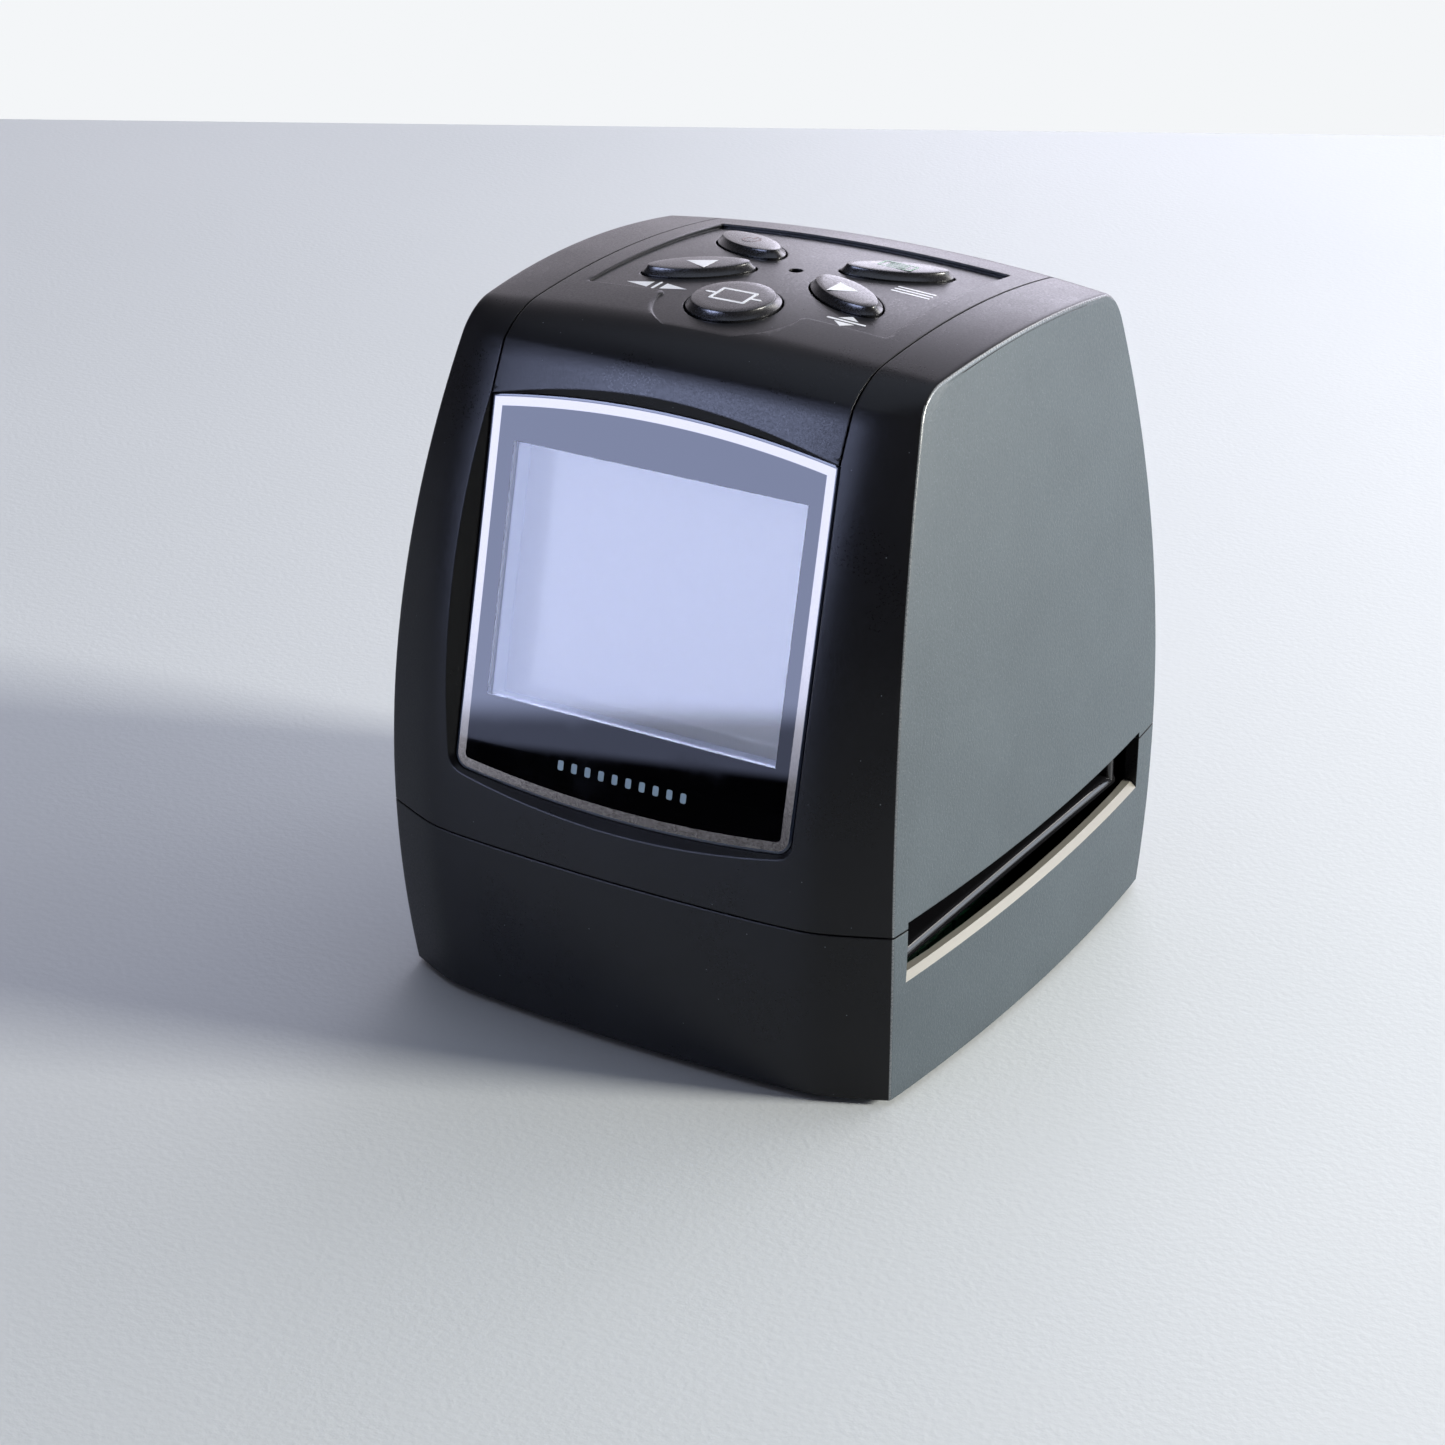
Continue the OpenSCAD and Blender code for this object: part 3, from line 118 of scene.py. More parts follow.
def back_at(z):
    return BACK_Y - bow(z, BACK_R, BACK_R_LOW)


def side_at(y, z):
    """Half width of the body at a point of the side view."""
    f, b = front_at(z), back_at(z)
    t = min(1, max(0, (z - WIDEST_Z) / (ROOF_Z - WIDEST_Z)))
    lift = SIDE_BOW + (SIDE_BOW_TOP - SIDE_BOW) * t
    return HALF_WIDTH - bow(z, SIDE_R, SIDE_R_LOW) + lift * (1 - ((2 * y - f - b) / (b - f)) ** 2)


def soft_min(a, b):
    return (a + b - sqrt((a - b) ** 2 + BEND_SOFT ** 2)) / 2


def rise_at(x, half, share):
    """Rise of the skin over the crease line, x away from the middle."""
    full = half - FACET_X
    low = soft_min(0, full)
    facet = full * (soft_min(half - abs(x), full) - low) / (soft_min(half, full) - low)
    return CROWN * (1 - (x / half) ** 2) + FACET_SLOPE * share * facet


def inside_centre(c1, r1, c2, r2, r, side):
    """Centre of a corner circle that touches two larger circles from the inside."""
    p, q, d = r1 - r, r2 - r, np.linalg.norm(c2 - c1)
    a = (p * p - q * q + d * d) / (2 * d)
    ex = (c2 - c1) / d
    return c1 + a * ex + side * sqrt(p * p - a * a) * np.array([-ex[1], ex[0]])


def stations(n_side, n_corner, n_roof):
    """The crease line: rows of y, z, the outward direction, and the share of facet slope."""
    cf, cb = np.array([FRONT_Y + FRONT_R, WIDEST_Z]), np.array([BACK_Y - BACK_R, WIDEST_Z])
    cr = np.array([ROOF_Y, ROOF_Z - ROOF_R])
    kf = inside_centre(cf, FRONT_R, cr, ROOF_R, FRONT_CORNER_R, -1)
    kb = inside_centre(cb, BACK_R, cr, ROOF_R, BACK_CORNER_R, 1)
    a_front, a_roof_1, a_roof_2, a_back = (atan2(v[1], v[0])
                                           for v in (kf - cf, kf - cr, kb - cr, kb - cb))
    z_low = BASE_BOTTOM - BELOW_BASE
    z_front = cf[1] + FRONT_R * sin(a_front)
    z_back = cb[1] + BACK_R * sin(a_back)
    rows = []

    def low(z, y, c, share):
        n = np.array([y - c, z - WIDEST_Z])
        n /= np.linalg.norm(n)
        rows.append((y, z, n[0], n[1], share))

    def arc(c, r, a, share):
        rows.append((c[0] + r * cos(a), c[1] + r * sin(a), cos(a), sin(a), share))

    for z in np.linspace(z_low, z_front, n_side):
        low(z, front_at(z), FRONT_Y + (FRONT_R if z > WIDEST_Z else FRONT_R_LOW), 1)
    for t in np.arange(1, n_corner) / n_corner:
        arc(kf, FRONT_CORNER_R, a_front + (a_roof_1 - a_front) * t, (1 - t) ** 2)
    for t in np.arange(0, n_roof + 1) / n_roof:
        arc(cr, ROOF_R, a_roof_1 + (a_roof_2 - a_roof_1) * t, 0)
    for t in np.arange(1, n_corner) / n_corner:
        arc(kb, BACK_CORNER_R, a_roof_2 + (a_back - a_roof_2) * t, BACK_SHARE * t ** BACK_FADE)
    for z in np.linspace(z_back, z_low, n_side):
        low(z, back_at(z), BACK_Y - (BACK_R if z > WIDEST_Z else BACK_R_LOW), BACK_SHARE)
    return rows


print("half width at the seam:", round(side_at(0, SEAM_Z), 2))

# %% [markdown]
# A few helpers turn points into pieces. Points are given in mm. Cutting and joining go through
# boolean modifiers whose result is stored in the mesh, so that a wall has a real thickness.

# %% Mesh helpers
def piece(name, points, faces):
    mesh = bpy.data.meshes.new(name)
    mesh.from_pydata([tuple(float(c) * MM for c in p) for p in points], [],
                     [[int(i) for i in f] for f in faces])
    obj = bpy.data.objects.new(name, mesh)
    bpy.context.scene.collection.objects.link(obj)
    tidy(obj)
    return obj


def tidy(obj, merge_mm=0.0):
    """Turns all faces outward, and joins points that lie on each other."""
    bm = bmesh.new()
    bm.from_mesh(obj.data)
    if merge_mm:
        bmesh.ops.remove_doubles(bm, verts=bm.verts, dist=merge_mm * MM)
    bmesh.ops.recalc_face_normals(bm, faces=bm.faces)
    bm.to_mesh(obj.data)
    bm.free()


def store_modifiers(obj):
    graph = bpy.context.evaluated_depsgraph_get()
    mesh = bpy.data.meshes.new_from_object(obj.evaluated_get(graph))
    obj.modifiers.clear()
    old, obj.data = obj.data, mesh
    bpy.data.meshes.remove(old)


def combine(obj, *tools, how="DIFFERENCE"):
    """Cuts the tools away one by one, or how is UNION or INTERSECT. The tools are used up."""
    for tool in tools:
        step = obj.modifiers.new("boolean", "BOOLEAN")
        step.operation, step.object, step.solver = how, tool, "MANIFOLD"
        store_modifiers(obj)
        bpy.data.objects.remove(tool)
    return obj


def soften(obj, sharp_deg=32):
    """Smooth shading that still breaks at real edges."""
    obj.data.shade_smooth()
    obj.data.set_sharp_from_angle(angle=radians(sharp_deg))


def copy_of(obj, name):
    twin = obj.copy()
    twin.data = obj.data.copy()
    twin.name = name
    bpy.context.scene.collection.objects.link(twin)
    return twin


def box_mm(x0, x1, y0, y1, z0, z1, place=tuple):
    pts = [place((x, y, z)) for z in (z0, z1) for y in (y0, y1) for x in (x0, x1)]
    return piece("box", pts, [(0, 1, 3, 2), (4, 6, 7, 5), (0, 4, 5, 1), (1, 5, 7, 3), (3, 7, 6, 2),
                              (2, 6, 4, 0)])


def skin(rings, n_strips):
    """Faces between rings of points that all have the same count."""
    n, m = len(rings[0]), len(rings)
    return [(k * n + i, k * n + (i + 1) % n, (k + 1) % m * n + (i + 1) % n, (k + 1) % m * n + i)
            for k in range(n_strips) for i in range(n)]


def stack(name, rings):
    """A closed skin through rings of points, with a flat cap at each end."""
    n, m = len(rings[0]), len(rings)
    caps = [tuple(range(n))[::-1], tuple(range((m - 1) * n, m * n))]
    return piece(name, [p for ring in rings for p in ring], skin(rings, m - 1) + caps)


def closed_loop(name, rings):
    """A skin whose last ring joins the first one again, such as a frame."""
    return piece(name, [p for ring in rings for p in ring], skin(rings, len(rings)))


def prism(line, z0, z1, name="cut"):
    """An upright block with this outline."""
    return stack(name, [[(x, y, z) for x, y in line] for z in (z0, z1)])


def circle(x, y, r, n=48):
    return [(x + r * cos(2 * pi * i / n), y + r * sin(2 * pi * i / n))
            for i in range(n)]


def half_row(half, share, inset, n_across, edge_r):
    """Right half of one row: distance from the middle and height over the crease line."""
    if not edge_r:
        xs = [k / n_across * (half - inset) for k in range(1, n_across + 1)]
        return [(x, rise_at(x * half / (half - inset), half, share) - inset) for x in xs]
    slope = (rise_at(half - SLOPE_STEP, half, share) - rise_at(half, half, share)) / SLOPE_STEP
    drop = edge_r * (slope - sqrt(1 + slope * slope))
    a0 = atan(slope)
    reach = half - edge_r * (1 - sin(a0))
    out = [(k / n_across * reach, rise_at(k / n_across * reach, half, share))
           for k in range(1, n_across + 1)]
    for k in range(1, EDGE_STEPS + 1):
        a = a0 + (pi / 2 - a0) * k / EDGE_STEPS
        out.append((half - edge_r + edge_r * sin(a), drop + edge_r * cos(a)))
    return out


def body_solid(name, inset, n_side, n_corner, n_roof, n_across, n_deep, edge_r=0.0):
    """The whole outer form as one closed mesh, its skin moved inward by inset."""
    line = stations(n_side, n_corner, n_roof)
    if len(line) % 2:
        raise ValueError("the number of stations must be even")
    n, rows = len(line), len(line) // 2
    pts, rims = [], []
    for y, z, ny, nz, share in line:
        half = side_at(y, z)
        right = half_row(half, share, inset, n_across // 2, edge_r)
        whole = [(-x, h) for x, h in reversed(right)] + [(0, rise_at(0, half, share) - inset)] + right
        pts += [(x, y + ny * h, z + nz * h) for x, h in whole]
        rims.append((y + ny * right[-1][1], z + nz * right[-1][1]))
    w = len(whole)
    faces = [(i * w + j, i * w + j + 1, (i + 1) * w + j + 1, (i + 1) * w + j)
             for i in range(n - 1) for j in range(w - 1)]
    faces += [(j, (n - 1) * w + j, (n - 1) * w + j + 1, j + 1) for j in range(w - 1)]
    for way, edge in ((1, w - 1), (-1, 0)):
        start = len(pts)
        for i in range(rows - 1):
            (ya, za), (yb, zb) = rims[i], rims[n - 1 - i]
            for k in range(1, n_deep):
                t = k / n_deep
                y, z = ya * (1 - t) + yb * t, za * (1 - t) + zb * t
                pts.append((way * (side_at(y, z) - inset), y, z))

        def at(i, k):
            if k == 0:
                return i * w + edge
            if k == n_deep:
                return (n - 1 - i) * w + edge
            return start + i * (n_deep - 1) + k - 1

        faces += [(at(i, k), at(i + 1, k), at(i + 1, k + 1), at(i, k + 1))
                  for i in range(rows - 2) for k in range(n_deep)]
        last, mid = rows - 2, n_deep // 2
        faces += [(at(last, k), (rows - 1 if k < mid else rows) * w + edge, at(last, k + 1))
                  for k in range(n_deep)]
        faces.append((at(last, mid), (rows - 1) * w + edge, rows * w + edge))
        faces.append(tuple(at(0, k) for k in range(n_deep + 1)))
    return piece(name, pts, faces)


# steps along the front or back, a corner and the roof, across the body, and across a side panel
FINE_STEPS, FORM_STEPS = (44, 14, 41, 120, 40), (12, 4, 9, 28, 8)
outer = body_solid("outer_form", 0, *FINE_STEPS, edge_r=CREASE_R)
inner = body_solid("inner_form", WALL, *FORM_STEPS)
print("outer form, mm:", [round(d / MM, 1) for d in outer.dimensions])

# %% [markdown]
# ## Window frame of reference
# The window leans back. Its own frame has x to the right, v up along the window and w out of it.
# The outline has straight sides, an arched top with sharp corners and a sagging foot with small
# round corners. One function draws it, so that the recess, the pocket, the printed line and the
# pane all follow each other.

# %% Window outline
LEAN = radians(13.68)
FOOT_Y, FOOT_Z = -45.28, 39.27
WINDOW_HALF, WINDOW_H, WINDOW_RISE, WINDOW_SAG, WINDOW_CORNER = 28.4, 54.67, 2.35, 1.97, 2.5
WINDOW_T, SEAT_GAP, SEAT_T, WINDOW_GAP = 1.2, 0.1, 1.6, 0.18
VIEW_V, VIEW_W, VIEW_H = 30.1, 50.4, 39.0
RECESS_HEIGHTS = (0.0, 0.4, 1.2, 2.4, 3.6, 4.8, 6.2)
FLARE_SIDE, FLARE_FOOT, FLARE_HEAD, FLARE_RISE, FLARE_SAG, FLARE_CORNER = 0.57, -0.72, 0.38, 1.92, 0.58, 0.1


def on_window(p):
    x, v, w = p
    return (x, FOOT_Y + v * sin(LEAN) - w * cos(LEAN),
            FOOT_Z + v * cos(LEAN) + w * sin(LEAN))


def arc_r(half, rise):
    return (half * half + rise * rise) / (2 * rise)


def arc(c, r, a, b, n):
    return [(c[0] + r * cos(a + (b - a) * i / n), c[1] + r * sin(a + (b - a) * i / n))
            for i in range(n + 1)]


def arched(half, foot, top, rise, sag, corner, grow=0.0, n=48):
    rt, rs = arc_r(half, rise), arc_r(half, sag)
    ct, cs = (0, top + rise - rt), (0, foot - sag + rs)
    at = acos((half + grow) / (rt + grow))
    kx = half - corner
    k = (kx, cs[1] - sqrt((rs - corner) ** 2 - kx * kx))
    ak = atan2(k[1] - cs[1], kx)
    return (arc(ct, rt + grow, at, pi - at, n)
            + arc((-kx, k[1]), corner + grow, pi, pi - ak, 8)
            + arc(cs, rs + grow, -pi - ak, ak, n)
            + arc(k, corner + grow, ak, 0, 8))


def window_outline(grow=0.0):
    return arched(WINDOW_HALF, 0, WINDOW_H, WINDOW_RISE, WINDOW_SAG, WINDOW_CORNER, grow)


def flared(w):
    """Outline of the recess at height w over the window. It grows by a fixed slope on each side."""
    return arched(WINDOW_HALF + WINDOW_GAP + FLARE_SIDE * w, FLARE_FOOT * w, WINDOW_H + FLARE_HEAD * w,
                  WINDOW_RISE + FLARE_RISE * w, WINDOW_SAG + FLARE_SAG * w,
                  WINDOW_CORNER + FLARE_CORNER * w)


def window_ring(line, w):
    return [on_window((x, v, w)) for x, v in line]


def recess_cutter():
    return stack("cut", [window_ring(flared(w), w) for w in RECESS_HEIGHTS])


def window_block(grow, w0, w1):
    return stack("cut", [window_ring(window_outline(grow), w) for w in (w0, w1)])


print("window, mm:", 2 * WINDOW_HALF, "by", WINDOW_H + WINDOW_RISE + WINDOW_SAG)

# %% [markdown]
# ## Roof frame of reference
# The keypad is a shallow sunken field that follows the roof, deeper at the back. Buttons sit on
# small tilted frames on it. The height of the roof and of the keypad are functions of the place.

# %% Keypad sizes and frames
PAD_HALF, PAD_FRONT, PAD_BACK = 24.6, -13.3, 23.3
PAD_SINK_FRONT, PAD_SINK_BACK, BAY_R = 0.2, 0.65, 11.5
SCAN_Y, SCAN_R = -13.3, 6.8
LEAF_L, LEAF_W, LEAF_X, LEAF_FRONT_Y, LEAF_BACK_Y, LEAF_TURN = 8.2, 3.9, 12.3, -2.9, 11.7, 31
CAP_RISE, CAP_BEVEL, CAP_GAP, FLANGE = 1.15, 0.8, 0.35, 0.9
LIGHT_Y, LIGHT_R = 3.8, 1.05
KEY_BOARD_Z, SWITCH_H, PLUNGER_RISE = 95.2, 3.4, 0.9
BUTTONS = {"power": (-LEAF_X, LEAF_BACK_Y, -LEAF_TURN), "left": (-LEAF_X, LEAF_FRONT_Y, LEAF_TURN),
           "scan": (0, SCAN_Y, 0), "right": (LEAF_X, LEAF_FRONT_Y, -LEAF_TURN),
           "menu": (LEAF_X, LEAF_BACK_Y, LEAF_TURN)}


def roof_at(x, y):
    return (ROOF_Z - ROOF_R + sqrt(ROOF_R ** 2 - (y - ROOF_Y) ** 2)
            + CROWN * (1 - (x / side_at(y, ROOF_Z)) ** 2))


def sink_at(y):
    t = (y - SCAN_Y + BAY_R) / (PAD_BACK - SCAN_Y + BAY_R)
    return PAD_SINK_FRONT + (PAD_SINK_BACK - PAD_SINK_FRONT) * t


def pad_at(x, y):
    return roof_at(x, y) - sink_at(y)


def pad_frame(x, y, step=0.5):
    """Places a local point on the tilted keypad frame at x, y."""
    sx = (pad_at(x + step, y) - pad_at(x - step, y)) / (2 * step)
    sy = (pad_at(x, y + step) - pad_at(x, y - step)) / (2 * step)
    m = (Matrix.Translation((x, y, pad_at(x, y))) @ Matrix.Rotation(atan(sy), 4, "X")
         @ Matrix.Rotation(-atan(sx), 4, "Y"))
    return lambda p: tuple(m @ Vector(p))


def leaf(grow, turn, n=96):
    t = radians(turn)
    out = []
    for i in range(n):
        a = 2 * pi * i / n
        u = (LEAF_L + grow) * cos(a)
        v = (LEAF_W + grow) * sin(a) * (0.9 + 0.1 * sin(a) ** 2)
        out.append((u * cos(t) - v * sin(t), u * sin(t) + v * cos(t)))
    return out


def button_outline(key, grow=0.0):
    return circle(0, 0, SCAN_R + grow, 96) if key == "scan" else leaf(grow, BUTTONS[key][2])


print("keypad height in the middle, mm:", round(pad_at(0, 0), 2))

# %% [markdown]
# ## Housing mouldings
# Each moulding is cut out of the same outer form, as the real ones are designed. The upper housing
# loses the strip of the roof cover, the window recess, the pocket of the pane, the film slot and
# the sockets. The groove between cover and housing stays open, with a ledge under it.

# %% Cutters that several mouldings share
SLOT_FRONT, SLOT_BACK, SLOT_BOTTOM, SLOT_TOP = -37.8, 34.6, 20.9, 29.5
BOARD_X, CARD_Z, USB_Z, JACK_Z, JACK_X, JACK_R = -31.4, 56.5, 37.5, 74.0, 3, 2.9
CARD_PORT, USB_PORT = (0.1, 3.1, 12.8, 0.4), (-0.2, 4.4, 4.2, 1.0)
FAR, ABOVE, BAND_FAR, BAND_FRONT_Z, BACK_CUT = 70, 130, 55, 89, (30, 60)
FRAME_WALL, LEDGE_GAP, SKIM = 3, 0.2, 0.02


def cover_zone(grow):
    """Region of the cover strip. In front it ends where the window begins."""
    b = BAND_HALF + grow
    zone = box_mm(-b, b, -BAND_FAR, BAND_FAR, BAND_BACK_Z - grow, ABOVE)
    return combine(zone, box_mm(-60, 60, -FAR, 0, 60, BAND_FRONT_Z - grow))


def hollow():
    """The inside of the housing, with the frame round the window left standing."""
    return combine(copy_of(inner, "hollow"), window_block(FRAME_WALL, -WINDOW_T - SEAT_GAP - SEAT_T, 12))


def window_cuts():
    """The recess, and under it the pocket that holds the pane."""
    return recess_cutter(), window_block(WINDOW_GAP - SKIM, -WINDOW_T - SEAT_GAP, SKIM)


def rounded_box(x0, x1, y0, y1, z0, z1, r, n=8):
    """A box along Y whose four long edges are rounded."""
    ring = []
    for cx, cz, a0 in ((x1 - r, z1 - r, 0), (x0 + r, z1 - r, 90), (x0 + r, z0 + r, 180),
                       (x1 - r, z0 + r, 270)):
        for i in range(n + 1):
            a = radians(a0 + 90 * i / n)
            ring.append((cx + r * cos(a), cz + r * sin(a)))
    return stack("cut", [[(x, y, z) for x, z in ring] for y in (y0, y1)])


print("film slot, mm:", round(SLOT_BACK - SLOT_FRONT, 1), "by", round(SLOT_TOP - SLOT_BOTTOM, 1))

# %% Upper housing
housing = copy_of(outer, "housing_moulding")
combine(housing, box_mm(-FAR, FAR, -FAR, FAR, SEAM_Z + SEAM_GAP / 2, ABOVE), how="INTERSECT")
ledge = body_solid("ledge_face", WALL + LEDGE_GAP, *FORM_STEPS)
combine(housing, hollow(), combine(cover_zone(SEAM_GAP / 2), ledge), *window_cuts(),
        box_mm(-VIEW_W / 2, VIEW_W / 2, VIEW_V - VIEW_H / 2, VIEW_V + VIEW_H / 2, -20, 1, on_window),
        box_mm(-FAR, FAR, SLOT_FRONT, SLOT_BACK, 20, SLOT_TOP))
for (x0, x1, half, r), z in ((CARD_PORT, CARD_Z), (USB_PORT, USB_Z)):
    combine(housing, rounded_box(BOARD_X + x0, BOARD_X + x1, *BACK_CUT, z - half, z + half, r))
combine(housing, stack("cut", [[(BOARD_X + JACK_X + a, y, JACK_Z + b) for a, b in circle(0, 0, JACK_R)]
                               for y in BACK_CUT]))
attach(housing, "housing")
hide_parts("main_shell")
print("housing faces:", len(housing.data.polygons))

# %% [markdown]
# The cover strip carries the keypad. Its floor is a grid that follows the roof a little lower, cut
# in with upright sides. The five openings have the outlines of the caps, grown by the gap.

# %% Cover strip
cover = copy_of(outer, "roof_cover")
combine(cover, cover_zone(-SEAM_GAP / 2), how="INTERSECT")
recess, pocket = window_cuts()
combine(cover, copy_of(inner, "hollow"), recess,
        box_mm(-40, 40, 0, WINDOW_H + 1, -20, SKIM, on_window), pocket)
PAD_LOW, PAD_HIGH = 96, 115
BEVEL_IN, BEVEL_LIFT = 0.3, 0.02


def pad_cutter(nx=40, ny=48):
    """Space over the keypad floor, open to the top."""
    w = nx + 1
    y0, y1 = SCAN_Y - BAY_R - 1, PAD_BACK + 1
    xs = [(2 * i / nx - 1) * (PAD_HALF + 1) for i in range(w)]
    ys = [y0 + (y1 - y0) * j / ny for j in range(ny + 1)]
    low = [(x, y, pad_at(x, y)) for y in ys for x in xs]
    high = [(x, y, PAD_HIGH - 3) for y in ys for x in xs]
    s = len(low)
    faces = []
    for j in range(ny):
        for i in range(nx):
            a = j * w + i
            faces.append((a, a + 1, a + w + 1, a + w))
            faces.append((s + a, s + a + w, s + a + w + 1, s + a + 1))
    rim = (list(range(w)) + [j * w + nx for j in range(1, ny + 1)]
           + [ny * w + i for i in range(nx - 1, -1, -1)] + [j * w for j in range(ny - 1, 0, -1)])
    faces += [(rim[k], rim[k - 1], s + rim[k - 1], s + rim[k]) for k in range(len(rim))]
    return piece("cut", low + high, faces)


def round_corner(c, r, a, b, n=6):
    return arc(c, r, radians(a), radians(b), n)


def pad_outline(grow=0.0, r=0.5):
    """Keypad with small corner radii and the round bay in front of the scan button."""
    f, k, h = PAD_FRONT - grow, PAD_BACK + grow, PAD_HALF + grow
    bay = BAY_R + grow - 0.2
    pts = round_corner((h - r, k - r), r, 0, 90) + round_corner((-h + r, k - r), r, 90, 180)
    pts += round_corner((-h + r, f + r), r, 180, 270)
    pts += round_corner((-bay - 1, f - 1), 1, 90, 10) + arc((0, SCAN_Y), BAY_R + grow, radians(188),
                                                           radians(352), 40)
    pts += round_corner((bay + 1, f - 1), 1, 170, 90) + round_corner((h - r, f + r), r, 270, 360)
    return pts


def with_steps(line, per_edge=16):
    """The same outline with extra points, so that its edges can follow a curved surface."""
    return [(a[0] + (b[0] - a[0]) * k / per_edge, a[1] + (b[1] - a[1]) * k / per_edge)
            for a, b in zip(line, line[1:] + line[:1]) for k in range(per_edge)]


def edge_cutter(wide=0.22, deep=0.1):
    """A narrow bevel that follows the upper edge of the keypad."""
    loops = [[(x, y, roof_at(x, y) + lift) for x, y in with_steps(pad_outline(grow))]
             for grow, lift in ((-BEVEL_IN, -deep), (0, -deep), (wide, BEVEL_LIFT), (wide, 4),
                                (-BEVEL_IN, 4))]
    return closed_loop("cut", loops)


pad = prism(pad_outline(), PAD_LOW, PAD_HIGH, "pad_form")
combine(cover, combine(pad, pad_cutter(), how="INTERSECT"), edge_cutter())
for key, (bx, by, _) in BUTTONS.items():
    place = pad_frame(bx, by)
    combine(cover, stack("cut", [[place((x, y, z)) for x, y in button_outline(key, CAP_GAP)]
                                 for z in (-5, 5)]))
combine(cover, prism(circle(0, LIGHT_Y, LIGHT_R), PAD_LOW, PAD_HIGH))
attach(cover, "housing")
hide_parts("top_cover")
print("cover faces:", len(cover.data.polygons))

# %% [markdown]
# The base closes the body from below. It holds the lower part of the film slot, four bores for the
# long screws and shallow seats for the feet.

# %% Base
FLOOR_T = 2.2
FOOT_X, FOOT_YY, FOOT_R, FOOT_GAP = 34.2, 34.6, 4.5, 0.15
LIP, LIP_OUT = 0.95, 0.9
SCREW_SPOTS = ((20, -41.2), (22, 38.4))
BOSS_R, BOSS_TOP = 4, 19.7
HEAD_BORE, SHANK_BORE = (2.9, 13), (1.6, 30)

base = copy_of(outer, "base_moulding")
combine(base, box_mm(-FAR, FAR, -FAR, FAR, BASE_BOTTOM, SEAM_Z - SEAM_GAP / 2), how="INTERSECT")
room = copy_of(inner, "hollow")
combine(room, box_mm(-FAR, FAR, -FAR, FAR, BASE_BOTTOM + FLOOR_T, 60), how="INTERSECT")
combine(room, *(prism(circle(sx * px, py, BOSS_R), 0, BOSS_TOP) for sx in (-1, 1) for px, py in SCREW_SPOTS))
combine(base, room, box_mm(-FAR, FAR, SLOT_FRONT, SLOT_BACK, SLOT_BOTTOM, 60))
for sx in (-1, 1):
    for px, py in SCREW_SPOTS:
        combine(base, *(prism(circle(sx * px, py, r), 0, z1) for r, z1 in (HEAD_BORE, SHANK_BORE)))
    combine(base, *(prism(circle(sx * FOOT_X, sy * FOOT_YY, FOOT_R + FOOT_GAP), 0, BASE_BOTTOM + 1)
                    for sy in (-1, 1)))
for sx in (-1, 1):
    rows = []
    for y in np.linspace(SLOT_FRONT - SKIM, SLOT_BACK + SKIM, 50):
        x, z = side_at(y, SLOT_BOTTOM), SLOT_BOTTOM + SKIM
        rows.append([(sx * (x + a), y, z + b)
                     for a, b in ((-LIP, 0), (LIP_OUT, 0), (LIP_OUT, -LIP - LIP_OUT))])
    combine(base, stack("cut", rows))
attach(base, "housing")
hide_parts("base_shell")
for obj in (housing, cover, base):
    soften(obj)
for form in (outer, inner):
    bpy.data.objects.remove(form)
print("base faces:", len(base.data.polygons))

# %% [markdown]
# ## Buttons
# Each cap is a small moulding: a flange that keeps it in, an upright skirt, a slightly hollow
# bevel, a rounded edge and a crowned top. A ring of points per height gives that profile its exact
# radii, and the same profile serves the round and the leaf shaped caps. The caps ride on the
# bodies that the engineering model moves.

# %% Button caps
BEVEL_STEPS, BEVEL_HOLLOW = 5, 0.07
EDGE_R, TOP_CROWN, FOOT_STEP = 0.16, 0.12, (0.02, 0.12)
CAP_UNDER, STEM_R, STEM_SINK = 0.5, 1.9, 0.4
CROWN_RINGS = (0.8, 0.55, 0.28, 0.06)


def cap_profile(under):
    """Pairs of growth and height, from the foot of the flange to the middle of the top."""
    rows = [(FLANGE, -under - FLANGE), (FLANGE, -under), (0, -under), (0, FOOT_STEP[0])]
    foot, head = (0.0, FOOT_STEP[1]), (-CAP_BEVEL, CAP_RISE - EDGE_R)
    for i in range(BEVEL_STEPS + 1):
        t = i / BEVEL_STEPS
        hollow_mm = BEVEL_HOLLOW * sin(pi * t)
        rows.append((foot[0] + (head[0] - foot[0]) * t - hollow_mm, foot[1] + (head[1] - foot[1]) * t))
    for a in (30, 60, 90):
        t = radians(a)
        rows.append((-CAP_BEVEL - EDGE_R * (1 - cos(t)), CAP_RISE - EDGE_R * (1 - sin(t))))
    return rows


def cap(key):
    x, y, _ = BUTTONS[key]
    under = WALL - sink_at(y) + CAP_UNDER
    place = pad_frame(x, y)
    rings = [[place((a, b, h)) for a, b in button_outline(key, g)] for g, h in cap_profile(under)]
    edge = button_outline(key, -CAP_BEVEL - EDGE_R)
    for s in CROWN_RINGS:
        rings.append([place((a * s, b * s, CAP_RISE + TOP_CROWN * (1 - s * s))) for a, b in edge])
    body = stack(f"{key}_cap", rings)
    foot = KEY_BOARD_Z + SWITCH_H + PLUNGER_RISE
    combine(body, prism(circle(x, y, STEM_R, 24), foot, pad_at(x, y) - under - STEM_SINK), how="UNION")
    soften(body, 40)
    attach(body, f"{key}_key")
    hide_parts(f"{key}_button")
    return body


caps = {key: cap(key) for key in BUTTONS}
print("caps:", {key: len(obj.data.polygons) for key, obj in caps.items()})

# %% [markdown]
# ## Printed marks
# The marks are screen printed ink. Each is a plate a few hundredths thick that lies on the surface
# it is printed on, so it keeps its sharp edge at any distance. Pictograms stand for the functions:
# mirror, flip, list, power, and a frame with a scan line.

